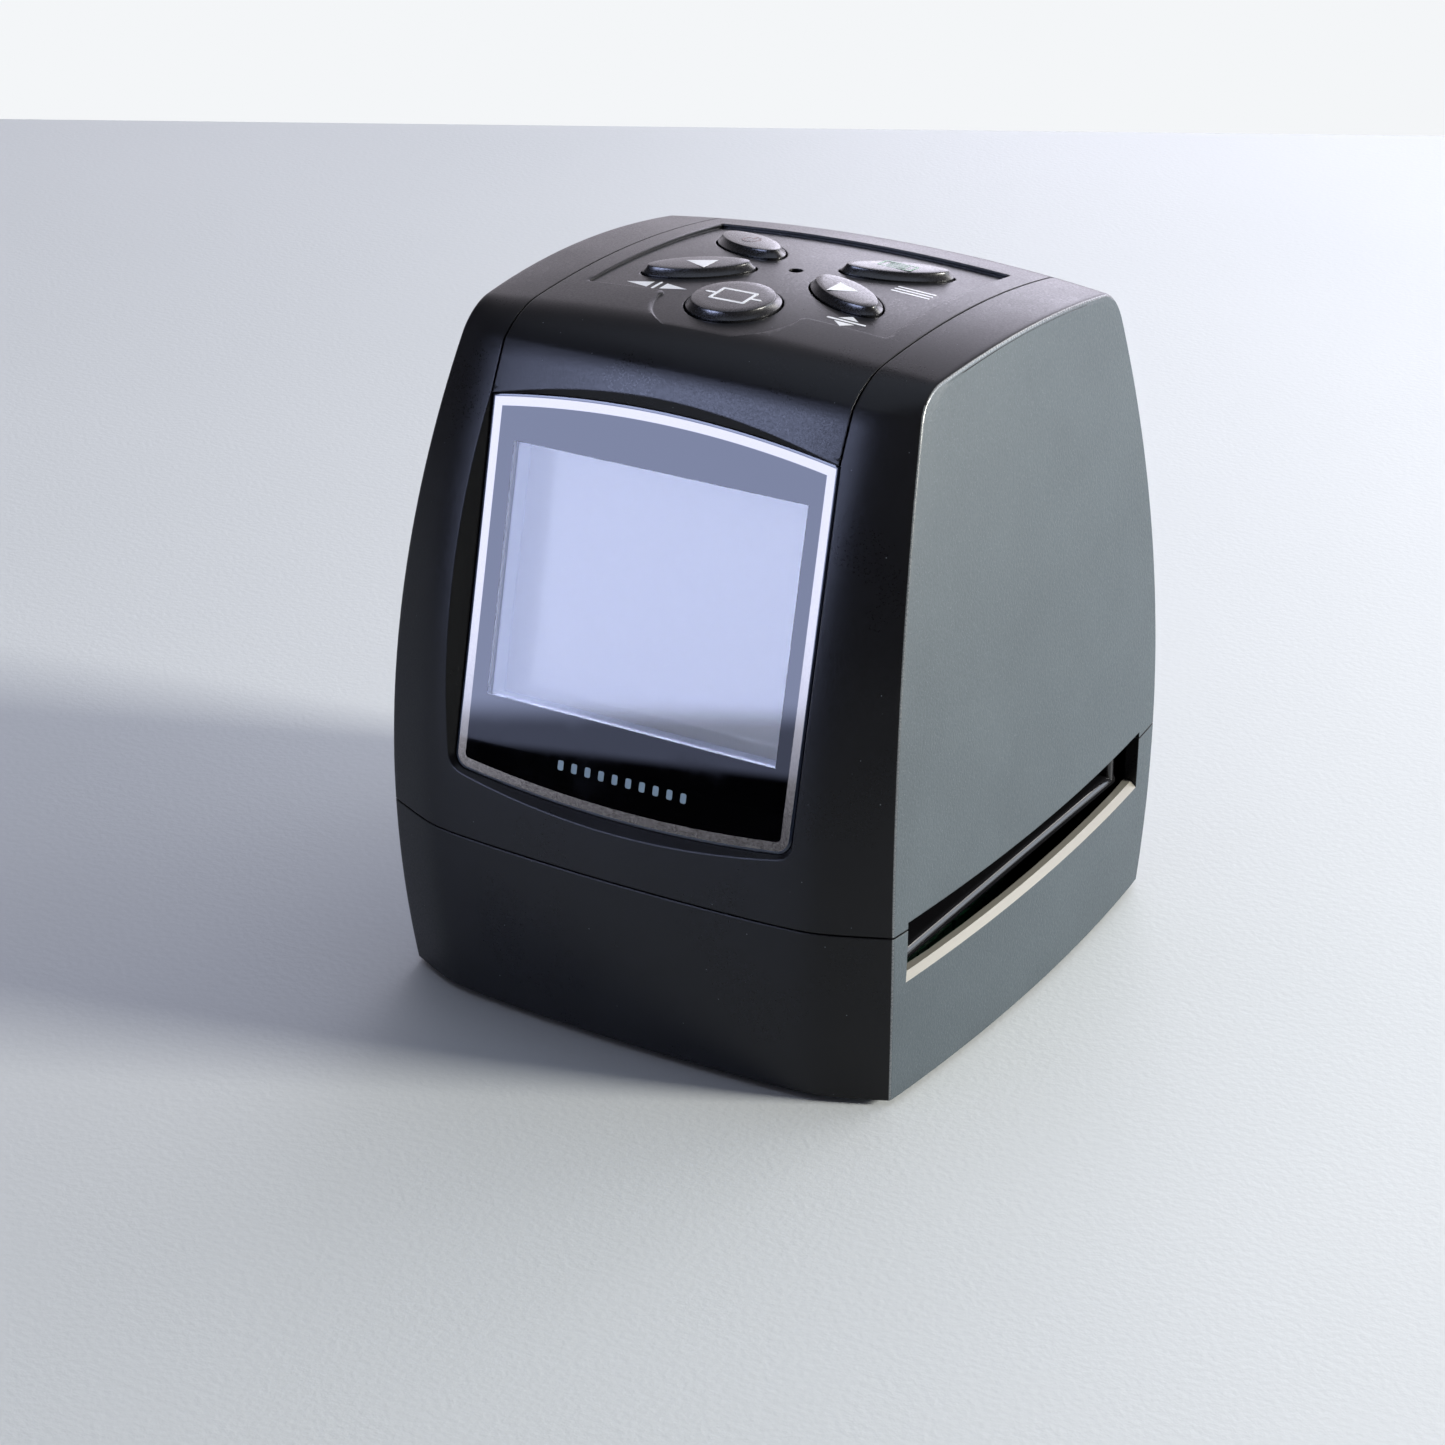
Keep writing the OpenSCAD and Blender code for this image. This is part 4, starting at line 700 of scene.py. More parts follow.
# %% Shapes of the marks
INK_T, INTO_CAP, INTO_PAD, INTO_PANE = 0.03, 0.01, 0.008, 0.02


def dash(x0, y0, x1, y1, w, n=6):
    """A stroke with round ends."""
    a = atan2(y1 - y0, x1 - x0)
    return (arc((x1, y1), w / 2, a - pi / 2, a + pi / 2, n)
            + arc((x0, y0), w / 2, a + pi / 2, a + 3 * pi / 2, n))


def bent(cx, cy, r, w, a0, a1, n=40):
    """A stroke along a circle."""
    return (arc((cx, cy), r + w / 2, radians(a0), radians(a1), n)
            + arc((cx, cy), r - w / 2, radians(a1), radians(a0), n))


def frame_strokes(half_w, half_h, w):
    x, y = half_w, half_h
    return [dash(-x, -y, x, -y, w), dash(x, -y, x, y, w), dash(x, y, -x, y, w), dash(-x, y, -x, -y, w)]


def print_on(name, shapes, place, body):
    """Joins all strokes of one mark into one thin piece."""
    pts, faces = [], []
    for shape in shapes:
        s, n = len(pts), len(shape)
        for h in (0, INK_T):
            pts += [place((x, y, h)) for x, y in shape]
        faces.append(tuple(range(s + n - 1, s - 1, -1)))
        faces.append(tuple(range(s + n, s + 2 * n)))
        faces += [(s + i, s + (i + 1) % n, s + n + (i + 1) % n, s + n + i) for i in range(n)]
    obj = piece(name, pts, faces)
    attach(obj, body)
    return obj


def on_cap(key, dx=0.0, dy=0.0):
    """Places a mark on the crowned top of a cap."""
    place = pad_frame(*BUTTONS[key][:2])
    reach_mm = SCAN_R if key == "scan" else LEAF_L

    def put(p):
        a, b = dx + p[0], dy + p[1]
        reach = (a * a + b * b) / reach_mm ** 2
        return place((a, b, CAP_RISE + TOP_CROWN * (1 - min(1, reach)) - INTO_CAP + p[2]))
    return put


def on_pad(cx, cy):
    """Places a mark on the keypad floor."""
    def put(p):
        x, y = cx + p[0], cy + p[1]
        return (x, y, pad_at(x, y) - INTO_PAD + p[2])
    return put


print("thickness of the ink, mm:", INK_T)

# %% Marks on the caps
BOLD, STROKE, THIN, FINE = 0.52, 0.46, 0.32, 0.26
marks_white = [
    print_on("scan_mark", frame_strokes(2.7, 1.95, BOLD) + [dash(-4.3, 0, 4.3, 0, BOLD)],
             on_cap("scan"), "scan_key"),
    print_on("left_mark", [[(2.1, 2.0), (-2.1, 0), (2.1, -2.0)]],
             on_cap("left", 0.1, -0.1), "left_key"),
    print_on("right_mark", [[(-2.1, 2.0), (2.1, 0), (-2.1, -2.0)]],
             on_cap("right", -0.1, 0.1), "right_key"),
]
mark_green = print_on("menu_mark", frame_strokes(2.6, 1.3, FINE)
                      + [dash(-1.5, h, 1.5, h, FINE) for h in (-0.62, 0.0, 0.62)],
                      on_cap("menu", 0, 0.1), "menu_key")
mark_faint = print_on("power_mark", [bent(0, 0, 1.3, THIN, 125, 415), dash(0, 0.4, 0, 1.7, THIN)],
                      on_cap("power"), "power_key")
print("marks on the caps:", len(marks_white) + 2)

# %% Marks on the keypad
marks_white += [
    print_on("mirror_mark", [dash(0, -1.2, 0, 1.2, STROKE), [(-1.1, 1.1), (-5.1, 0), (-1.1, -1.1)],
                             [(1.1, 1.1), (1.1, -1.1), (5.1, 0)]],
             on_pad(-14.2, -11.2), "housing"),
    print_on("flip_mark", [dash(-2.9, 0, 2.9, 0, STROKE), [(-1.6, 0.6), (1.6, 0.6), (0, 1.9)],
                           [(-1.6, -0.6), (0, -1.9), (1.6, -0.6)]],
             on_pad(16.9, -10.9), "housing"),
    print_on("list_mark", [dash(-2.9, h, 2.9, h, STROKE) for h in (-1.05, 0.0, 1.05)],
             on_pad(18.6, 5.3), "housing"),
]
for mark in marks_white + [mark_green, mark_faint]:
    soften(mark)
print("marks:", len(marks_white) + 2)

# %% [markdown]
# ## Window
# The window is one acrylic pane with printing bonded to its back: a black mask, a silver line and
# a row of film perforations under the display. Bonded ink shows no gap behind the clear skin, so
# the printed zones are modelled as zones of the pane, each with its own finish and one common
# front face. The clear middle is real glass-like acrylic, with the recessed display behind it.

# %% Pane and its printed zones
PRINT_EDGE, LINE_W = 0.45, 1.3
APERTURE = (-24.0, 24.4, 11.6, 48.6)
RIM_R, RIM_MID, PANE_GAP = 0.25, 0.07, 0.004


def pane_zone(name, outer_line, inner_line, rounding=()):
    """A zone of the pane between two outlines. rounding holds the outlines of a rounded outer edge."""
    front = [window_ring(line, w) for line, w in rounding] or [window_ring(outer_line, 0.0)]
    ring = closed_loop(name, [window_ring(outer_line, -WINDOW_T), *front, window_ring(inner_line, 0.0),
                              window_ring(inner_line, -WINDOW_T)])
    tidy(ring, 0.001)
    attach(ring, "housing")
    return ring


ax0, ax1, av0, av1 = APERTURE
edge, line_in = window_outline(-PRINT_EDGE), window_outline(-PRINT_EDGE - LINE_W)
rim = pane_zone("window_rim", window_outline(0), edge,
                rounding=((window_outline(0), -RIM_R), (window_outline(-RIM_MID), -RIM_MID),
                          (window_outline(-RIM_R), 0.0)))
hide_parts("display_window")
silver_line = pane_zone("window_silver_line", edge, line_in)
mask = pane_zone("window_mask", line_in,
                 [(min(max(x, ax0), ax1), min(max(v, av0), av1)) for x, v in line_in])
clear = box_mm(ax0 + PANE_GAP, ax1 - PANE_GAP, av0 + PANE_GAP, av1 - PANE_GAP, -WINDOW_T, 0, on_window)
clear.name = "window_clear"
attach(clear, "housing")
for obj in (rim, silver_line, mask):
    soften(obj, 30)
print("aperture, mm:", round(ax1 - ax0, 1), "by", round(av1 - av0, 1))

# %% [markdown]
# A short row of film perforations is printed where such windows carry a word. It is a generic sign
# for film, made of small squares with round corners.

# %% Film strip sign
SIGN_X, SIGN_V, HOLE_W, HOLE_H, HOLE_STEP, HOLES = 0.1, 4.0, 0.95, 1.45, 2.3, 10


def round_rect(cx, cy, w, h, r, n=4):
    out = []
    for sx, sy, a in ((1, 1, 0), (-1, 1, 90), (-1, -1, 180), (1, -1, 270)):
        out += arc((cx + sx * (w / 2 - r), cy + sy * (h / 2 - r)), r, radians(a),
                   radians(a + 90), n)
    return out


film_sign = print_on("film_sign", [round_rect(SIGN_X + (i - (HOLES - 1) / 2) * HOLE_STEP, SIGN_V, HOLE_W,
                                             HOLE_H, 0.28) for i in range(HOLES)],
                     lambda p: on_window((p[0], p[1], p[2] - INTO_PANE)), "housing")
print("sign, mm:", round(HOLE_STEP * (HOLES - 1) + HOLE_W, 1))

# %% [markdown]
# ## Display
# Behind the window sits the display module. Its face is a polariser film over the glass, and the
# engineering model holds its block and the pale spacer. Here the face gets its film as a thin
# layer of its own, so that the view through the window has depth.

# %% Display film
DISPLAY_BEHIND, FILM_EDGE, FILM_FROM, FILM_TO, FILM_CORNER = 3.4, 0.6, 0.005, 0.09, 0.3
DISPLAY_FACE_W = -WINDOW_T - SEAT_GAP - SEAT_T - DISPLAY_BEHIND
ACTIVE_W, ACTIVE_H = 48.96, 36.72


def layer(name, half_w, half_h, w0, w1):
    line = round_rect(0, VIEW_V, 2 * half_w, 2 * half_h, FILM_CORNER)
    obj = stack(name, [window_ring(line, w) for w in (w0, w1)])
    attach(obj, "housing")
    return obj


film = layer("display_film", ACTIVE_W / 2 + FILM_EDGE, ACTIVE_H / 2 + FILM_EDGE,
             DISPLAY_FACE_W + FILM_FROM, DISPLAY_FACE_W + FILM_TO)
print("depth of the display behind the window, mm:", round(-DISPLAY_FACE_W, 1))

# %% [markdown]
# ## Colours and nodes
# Colours are written as sRGB hex values, the way a colour card gives them, and one function turns
# them to the linear numbers that the shader wants. One small function adds a shader node with its
# settings and links. Two kinds of node have numbered sockets. Map Range takes its value at 0, the
# old range at 1 and 2 and the new range at 3 and 4. Mix takes its share at 0 and two colours at 6
# and 7, and gives the result at output 2.

# %% Colour and node helpers
def linear(hex_code):
    out = []
    for i in (0, 2, 4):
        c = int(hex_code[i:i + 2], 16) / 255
        out.append(c / 12.92 if c <= 0.04045 else ((c + 0.055) / 1.055) ** 2.4)
    return (*out, 1.0)


def add(tree, kind, inputs=None, **settings):
    """Adds one node. inputs maps a socket to a value, a socket, or a node whose first output it takes."""
    node = tree.nodes.new("ShaderNode" + kind)
    for name, value in settings.items():
        setattr(node, name, value)
    for name, value in (inputs or {}).items():
        if isinstance(value, bpy.types.Node):
            value = value.outputs[0]
        if isinstance(value, bpy.types.NodeSocket):
            tree.links.new(value, node.inputs[name])
        else:
            node.inputs[name].default_value = value
    return node


def start(name):
    """A new material: its node tree and the position of a point on the object, in metres."""
    mat = bpy.data.materials.new(name)
    mat.use_nodes = True
    mat.node_tree.nodes.clear()
    return mat, mat.node_tree, add(mat.node_tree, "TexCoord").outputs["Object"]


def finish_with(tree, shader):
    add(tree, "OutputMaterial", {"Surface": shader})


def dress(obj, *mats):
    """Gives a piece these materials and no others."""
    obj.data.materials.clear()
    for mat in mats:
        obj.data.materials.append(mat)


def sized(place, size_mm, **more):
    """Inputs of a texture, scaled so that one feature has this size."""
    return {"Vector": place, "Scale": 1 / (size_mm * MM), **more}


print("mid grey, linear:", round(linear("808080")[0], 3))

# %% [markdown]
# ## Spark eroded ABS
# The outer mouldings are black ABS. The mould was finished by spark erosion, which leaves a fine
# even grain. It scatters light softly and gives tiny glints where light grazes the wall. Handling
# leaves a slight variation of gloss, and dust lies in the grain as pale specks. On the side walls
# the pale specks are far denser, and there they are painted glints. Real grain is near 0.1 mm and
# real dust is finer still. The grain is drawn at 0.3 mm, on the side walls at 0.42 mm, and the specks
# in cells of 0.42 and 0.34 mm, so that both still show from the camera's distance. The side walls are
# a lighter blue grey, which is painted sheen: the sheen that coarse grain takes from a bright room.
# The crease is paler, which is a painted highlight, and its finish is smoother and shinier.

# %% Black ABS of the mouldings
SMEAR_MM, EDGE_MM, GRAIN_DEEP_MM = 14.0, 0.3, 0.06
GRAIN_MM, SIDE_GRAIN_MM, DUST_MM, SIDE_GLINT_MM = 0.3, 0.42, 0.42, 0.34
ABS_IOR, SPECK_CORE, SPECK_RIM = 1.54, 0.12, 0.26


def abs_moulding(name, dark, light, rough, grain, edge_mm=EDGE_MM, specular=0.5, grain_mm=GRAIN_MM,
                 dust_and_glints=0.0, speck_hex="6c7378", speck_mm=DUST_MM):
    """grain is the strength of the bump, and dust_and_glints the share of cells that hold a pale speck: dust
    on most faces, painted glints on the side walls.
    """
    mat, tree, place = start(name)
    grains = add(tree, "TexNoise", sized(place, grain_mm, Detail=2.0, Roughness=0.6))
    smear = add(tree, "TexNoise", sized(place, SMEAR_MM, Detail=3.0))
    tone = add(tree, "MapRange", {0: smear, 1: 0.35, 2: 0.65, 3: 0.0, 4: 1.0})
    colour = add(tree, "Mix", {0: tone, 6: linear(dark), 7: linear(light)}, data_type="RGBA")
    gloss = add(tree, "MapRange", {0: smear, 1: 0.3, 2: 0.7, 3: rough - 0.025, 4: rough + 0.03})
    gloss_fine = add(tree, "MapRange", {0: grains, 1: 0.35, 2: 0.65, 3: -0.05, 4: 0.06})
    rough_all = add(tree, "Math", {0: gloss, 1: gloss_fine}, operation="ADD")
    bump = add(tree, "Bump", {"Height": grains, "Strength": grain, "Distance": GRAIN_DEEP_MM * MM})
    if edge_mm:
        round_edge = add(tree, "Bevel", {"Radius": edge_mm * MM}, samples=4)
        tree.links.new(round_edge.outputs[0], bump.inputs["Normal"])
    # Pale specks: real dust where the share is small, painted glints on the side walls where it is large.
    if dust_and_glints:
        cell = add(tree, "TexVoronoi", sized(place, speck_mm))
        rare = add(tree, "Math", {0: cell.outputs["Color"], 1: 1 - dust_and_glints}, operation="GREATER_THAN")
        small = add(tree, "MapRange", {0: cell.outputs["Distance"], 1: SPECK_CORE, 2: SPECK_RIM, 3: 1.0,
                                       4: 0.0})
        speck = add(tree, "Math", {0: rare, 1: small}, operation="MULTIPLY")
        colour = add(tree, "Mix", {0: speck, 6: colour.outputs[2], 7: linear(speck_hex)},
                     data_type="RGBA")
    finish_with(tree, add(tree, "BsdfPrincipled", {
        "Base Color": colour.outputs[2], "IOR": ABS_IOR, "Specular IOR Level": specular,
        "Roughness": rough_all, "Normal": bump}))
    return mat


abs_satin = abs_moulding("satin_black_abs", "0e0e10", "121213", 0.33, 0.12, specular=0.21, dust_and_glints=0.06)
# Side walls: the lighter blue grey is painted sheen, and the dense pale specks are painted glints.
abs_grained_painted_sheen_and_glints = abs_moulding("spark_eroded_black_abs_painted_sheen_and_glints", "303a40", "353f45", 0.54, 1.0, dust_and_glints=0.42,
                           grain_mm=SIDE_GRAIN_MM, speck_hex="525c63", speck_mm=SIDE_GLINT_MM)
# Crease: the paler colour is a painted highlight.
abs_crease_painted_highlight = abs_moulding("crease_of_black_abs_with_painted_highlight", "4c5054", "575c60", 0.27, 0.1, 0, specular=0.8)
abs_cap = abs_moulding("satin_black_abs_of_the_caps", "161618", "19191b", 0.27, 0.04, 0)
for obj in caps.values():
    dress(obj, abs_cap)
print("caps with a finish:", len(caps))

# %% [markdown]
# ## Gloss ABS of the film channel
# The channel guides the film holder, so its mould was polished. The surface is smooth and shiny,
# with a faint waviness and hairline rubbing marks along the way the holder slides. The trimmed lip
# of the slot is an even pale colour, a painted highlight for the light that its cut edge catches.

# %% Gloss black ABS
RUB_SCALE, RUB_STRETCH, WAVE_SIZE_MM = 12.0, (6.0, 260.0, 260.0), 9.0


def gloss_abs(name, hex_code, rough, wave_mm=0.2, spread=0.14, specular=0.5):
    mat, tree, place = start(name)
    along = add(tree, "Mapping", {"Vector": place, "Scale": RUB_STRETCH})
    rub = add(tree, "TexNoise", {"Vector": along, "Scale": RUB_SCALE, "Detail": 3.0})
    gloss = add(tree, "MapRange", {0: rub, 1: 0.4, 2: 0.7, 3: rough, 4: rough + spread})
    wave = add(tree, "TexNoise", sized(place, WAVE_SIZE_MM, Detail=1.0))
    bump = add(tree, "Bump", {"Height": wave, "Strength": 0.12, "Distance": wave_mm * MM})
    finish_with(tree, add(tree, "BsdfPrincipled", {
        "Base Color": linear(hex_code), "IOR": ABS_IOR, "Specular IOR Level": specular,
        "Roughness": gloss, "Normal": bump}))
    return mat


abs_gloss = gloss_abs("polished_black_abs", "141416", 0.1)
abs_inner = gloss_abs("moulded_black_abs", "18181b", 0.38)
# Slot lip: the pale colour is a painted highlight on black plastic.
abs_lip_painted_highlight = gloss_abs("slot_lip_of_black_abs_with_painted_highlight", "827f76", 0.3, wave_mm=0.0, spread=0.03, specular=0.8)
print("gloss finishes:", [mat.name for mat in (abs_gloss, abs_inner, abs_lip_painted_highlight)])

# %% [markdown]
# The coarse grain with its painted sheen ends at the rounded crease, whose paler colour is a
# painted highlight. Both limits are depths inside the side wall, between two rows of faces, so
# the border follows the faces and has no steps.

# %% Where each finish lies
GRAIN_TO, CREASE_TO = 0.12, 0.3
SIDEWAYS, FLAT_SIDE = 0.6, 0.93
LIP_X, LIP_UPWARD, LIP_BELOW, LIP_OVER = 34, 0.3, 1.1, 0.05
FINE, COARSE_PAINTED_SHEEN_AND_GLINTS, LIP_HIGHLIGHT, CREASE_HIGHLIGHT = range(4)


def finish_of(face):
    x, y, z, n = abs(face.center.x) / MM, face.center.y / MM, face.center.z / MM, face.normal
    depth = side_at(y, z) - x
    if abs(n.x) > SIDEWAYS and z < ROOF_Z and depth < CREASE_TO:
        # Side wall faces get the painted sheen, and the crease between them the painted highlight.
        return CREASE_HIGHLIGHT if depth > GRAIN_TO and abs(n.x) < FLAT_SIDE else COARSE_PAINTED_SHEEN_AND_GLINTS
    # The upward faces of the slot lip get the painted highlight.
    if x > LIP_X and n.z > LIP_UPWARD and SLOT_BOTTOM - LIP_BELOW < z < SLOT_BOTTOM + LIP_OVER:
        return LIP_HIGHLIGHT
    return FINE


for obj in (housing, cover, base):
    dress(obj, abs_satin, abs_grained_painted_sheen_and_glints, abs_lip_painted_highlight, abs_crease_painted_highlight)
    for face in obj.data.polygons:
        face.material_index = finish_of(face)
    used = [face.material_index for face in obj.data.polygons]
    print(obj.name, "fine, coarse with painted sheen, lip with painted highlight, crease with painted highlight faces:", [used.count(k) for k in range(4)])

# %% [markdown]
# ## Acrylic, ink and the silver line
# Acrylic has an IOR of 1.49, and its skin is mirror smooth. The black mask is ink under that skin,
# so the zone is a smooth black with the same reflection. The silver line is hot stamped foil under
# the same skin: a warm, dull metal with a clear coat. Dust and wipe marks vary the gloss a little.

# %% Window finishes
ACRYLIC_IOR = 1.49
WIPED = (11.0, 5.0, 0.65, 0.45, 0.75)


def window_finish(name, hex_code, marks, low, high, more):
    """marks: size in mm, detail and roughness of a noise, and the part of its range that is used."""
    size_mm, detail, uneven, old_low, old_high = marks
    mat, tree, place = start(name)
    noise = add(tree, "TexNoise", sized(place, size_mm, Detail=detail, Roughness=uneven))
    rough = add(tree, "MapRange", {0: noise, 1: old_low, 2: old_high, 3: low, 4: high})
    finish_with(tree, add(tree, "BsdfPrincipled", {"Base Color": linear(hex_code), "Roughness": rough,
                                                   **more}))
    return mat


acrylic = window_finish("clear_acrylic", "f4f3ee", WIPED, 0.0, 0.02,
                        {"IOR": ACRYLIC_IOR, "Transmission Weight": 1.0})
dress(clear, acrylic)
dress(mask, window_finish("acrylic_over_black_ink", "060608", WIPED, 0.012, 0.05, {"IOR": ACRYLIC_IOR}))
dress(silver_line, window_finish("silver_foil_under_acrylic", "665f52", (0.35, 2.0, 0.5, 0.3, 0.7),
                                 0.11, 0.17, {"Metallic": 1.0, "Coat Weight": 1.0,
                                              "Coat IOR": ACRYLIC_IOR, "Coat Roughness": 0.02}))
# The rim is blue grey and lighter than the mask's ink: that tone is a painted highlight along the pane's
# edge.
dress(rim, window_finish("acrylic_rim_with_painted_highlight", "2a3342", (3.0, 2.0, 0.5, 0.3, 0.7), 0.04, 0.09,
                         {"IOR": ACRYLIC_IOR}))
print("window finishes:", [obj.active_material.name for obj in (clear, mask, silver_line, rim)])

# %% [markdown]
# ## Screen printing ink
# Ink lies thick and slightly matt, with a fine mottle where the mesh of the screen let it through.

# %% Inks
MESH_MM, INK_BUMP_MM, THIN_INK = 0.16, 0.01, "3a3a3c"


def ink(name, hex_code, rough=0.45, mottle=0.12):
    mat, tree, place = start(name)
    spots = add(tree, "TexNoise", sized(place, MESH_MM, Detail=2.0))
    share = add(tree, "MapRange", {0: spots, 1: 0.35, 2: 0.7, 3: 1.0, 4: 1.0 - mottle})
    colour = add(tree, "Mix", {0: share, 6: linear(THIN_INK), 7: linear(hex_code)}, data_type="RGBA")
    bump = add(tree, "Bump", {"Height": spots, "Strength": 0.2, "Distance": INK_BUMP_MM * MM})
    finish_with(tree, add(tree, "BsdfPrincipled", {"Base Color": colour.outputs[2], "Roughness": rough,
                                                   "Normal": bump}))
    return mat


ink_white = ink("white_screen_ink", "f2f5f8")
for mark in marks_white:
    dress(mark, ink_white)
dress(mark_green, ink("pale_green_screen_ink", "8fb39c"))
dress(mark_faint, ink("faint_copper_screen_ink", "6e5a5a"))
dress(film_sign, ink("pale_blue_ink_under_acrylic", "b9d3e6", 0.06, 0.05))
print("inks on", len(marks_white) + 3, "marks")

# %% [markdown]
# ## Display film
# The face of the display is a polariser film with an anti glare finish and a soft sheen. Its pale
# warm grey is partly the film's own milky tone and partly painted sheen, the light it takes from a
# bright room. The same two noises, a wide one for the tone and a fine one for the bump, later make
# the table top.

# %% Clouded finishes
def clouded(name, dark, light, cloud_mm, grain_mm, detail, strength, deep_mm, more):
    mat, tree, place = start(name)
    cloud = add(tree, "TexNoise", sized(place, cloud_mm, Detail=2.0))
    colour = add(tree, "Mix", {0: cloud, 6: linear(dark), 7: linear(light)}, data_type="RGBA")
    grain = add(tree, "TexNoise", sized(place, grain_mm, Detail=detail))
    bump = add(tree, "Bump", {"Height": grain, "Strength": strength, "Distance": deep_mm * MM})
    finish_with(tree, add(tree, "BsdfPrincipled", {"Base Color": colour.outputs[2], "Normal": bump,
                                                   **more}))
    return mat


# The pale warm grey is partly the film's milky tone and partly painted sheen.
dress(film, clouded("anti_glare_polariser_film_with_painted_sheen", "7f7a70", "898479", 22.0, 0.12, 1.0, 0.05, 0.01,
                    {"IOR": 1.6, "Specular IOR Level": 0.15, "Roughness": 0.16}))
print("display finish:", film.active_material.name)

# %% [markdown]
# ## Finishes of the inner parts
# The rest of the engineering model keeps its own shapes. Every node gets the finish of what it is
# made of: rubber feet, zinc plated screws, tinned sheet, circuit boards, glass, and so on. Most lie
# inside, but they show through the film slot and when someone opens the model.

# %% Plain finishes for the engineering nodes
def plain_finish(name, dark, light, rough, spread=0.06, metal=0.0, size_mm=1.2, ior=1.5, clear_share=0.0,
                 bump_mm=0.02):
    mat, tree, place = start(name)
    cells = add(tree, "TexNoise", sized(place, size_mm, Detail=4.0, Roughness=0.6))
    share = add(tree, "MapRange", {0: cells, 1: 0.35, 2: 0.65, 3: 0.0, 4: 1.0})
    colour = add(tree, "Mix", {0: share, 6: linear(dark), 7: linear(light)}, data_type="RGBA")
    gloss = add(tree, "MapRange", {0: cells, 1: 0.3, 2: 0.7, 3: max(0.0, rough - spread), 4: rough + spread})
    bump = add(tree, "Bump", {"Height": cells, "Strength": 0.4, "Distance": bump_mm * MM})
    finish_with(tree, add(tree, "BsdfPrincipled", {
        "Base Color": colour.outputs[2], "Metallic": metal, "Roughness": gloss, "Normal": bump,
        "Transmission Weight": clear_share, "IOR": ior}))
    return mat


finishes = {
    "black_plastic": abs_satin,
    "gloss_black_plastic": abs_gloss,
    "inner_black_plastic": abs_inner,
    "foot_rubber": plain_finish("moulded_rubber", "1b1b1c", "262627", 0.75, size_mm=0.8),
    "screw_steel": plain_finish("zinc_plated_steel", "9aa0a8", "b4b8bd", 0.32, metal=1.0, size_mm=0.7),
    "sheet_steel": plain_finish("tinned_steel_sheet", "a8abad", "bcbfc2", 0.28, metal=1.0, size_mm=2.5),
    "tinted_window": acrylic,
    "display_face": plain_finish("display_glass_block", "6a6d80", "7b7e92", 0.2, size_mm=6.0),
    "pale_plastic": plain_finish("pale_grey_abs", "b9bdd0", "c6cadb", 0.42, size_mm=0.4),
    "plunger_plastic": plain_finish("acetal", "c3b083", "cdbb90", 0.35, size_mm=0.5, ior=1.48),
    "board_green": plain_finish("green_solder_resist", "1c6040", "237049", 0.3, size_mm=1.6),
    "clear_plastic": plain_finish("clear_lens_plastic", "c6d4da", "d6e2e6", 0.06, spread=0.02,
                                  clear_share=0.85, bump_mm=0.002),
    "led_body": plain_finish("led_epoxy", "e6dca2", "f1e9b8", 0.25, size_mm=0.5),
    "sensor_face": plain_finish("sensor_glass", "243240", "31424f", 0.12, size_mm=0.4),
    "white_plastic": plain_finish("white_abs", "e2e2dd", "eeeeea", 0.4, size_mm=0.5),
    "capacitor_can": plain_finish("aluminium_can", "9da0a5", "b2b5b9", 0.3, metal=1.0, size_mm=0.6),
}
for row in frame["record"]["subparts"]:
    obj = nodes[row["node"]]
    for k in range(max(1, len(obj.data.materials))):
        if len(obj.data.materials) <= k:
            obj.data.materials.append(None)
        obj.material_slots[k].material = finishes[row["material_slot"]]
print("finishes for nodes:", len(finishes))

# %% [markdown]
# ## Table, backdrop and light
# The object stands on a pale table top. The top is a finely pebbled laminate, so it takes a small
# bump and stays matt. Its far edge shows as a line across the top of the view, with white behind.

# %% Table and backdrop
FAR_EDGE = ((0, 119), (1445, 136))
TABLE_BEYOND, TABLE_DEEP, TABLE_T = 1500, 2600, 25


def ray_to_floor(px, py):
    """Point of the floor that the camera sees at a place in the frame, in mm."""
    half = FRAME_PX / 2
    d = (right_r * (px - half) - up_r * (py - half)) / FOCAL_PX - back
    eye = TARGET_MM + back * DISTANCE_MM
    return eye + d * ((0.0 - eye.z) / d.z)


left_far, right_far = (ray_to_floor(*spot) for spot in FAR_EDGE)
along = (right_far - left_far).normalized()
toward = Vector((along.y, -along.x, 0))
near = toward * TABLE_DEEP
corners = [left_far - along * TABLE_BEYOND, right_far + along * TABLE_BEYOND,
           right_far + along * TABLE_BEYOND + near, left_far - along * TABLE_BEYOND + near]
table = piece("table_top", [(p.x, p.y, z) for z in (-TABLE_T, 0) for p in corners],
              [(3, 2, 1, 0), (4, 5, 6, 7), (0, 1, 5, 4), (1, 2, 6, 5), (2, 3, 7, 6), (3, 0, 4, 7)])
wall = piece("backdrop", [(-6000, -4000, -700), (6000, -4000, -700), (6000, 6000, -700),
                          (-6000, 6000, -700)], [(0, 1, 2, 3)])
dress(table, clouded("pale_pebbled_laminate", "cacfd0", "d4d8d9", 160.0, 1.1, 2.0, 0.35, 0.12,
                     {"Roughness": 0.6}))

mat, tree, place = start("white_backdrop")
seen = add(tree, "LightPath").outputs["Is Camera Ray"]
white = add(tree, "Emission", {"Color": linear("f4f6f8"), "Strength": 1.0})
cloth = add(tree, "BsdfDiffuse", {"Color": linear("e8ebee")})
finish_with(tree, add(tree, "MixShader", {0: seen, 1: cloth, 2: white}))
dress(wall, mat)
print("far edge of the table, mm:", [round(c) for c in left_far], [round(c) for c in right_far])

# %% [markdown]
# The light is that of a bright room. A low lamp stands at the right and throws the long shadow to
# the left. A blind and a window behind and a soft light overhead give side and roof their sheen.

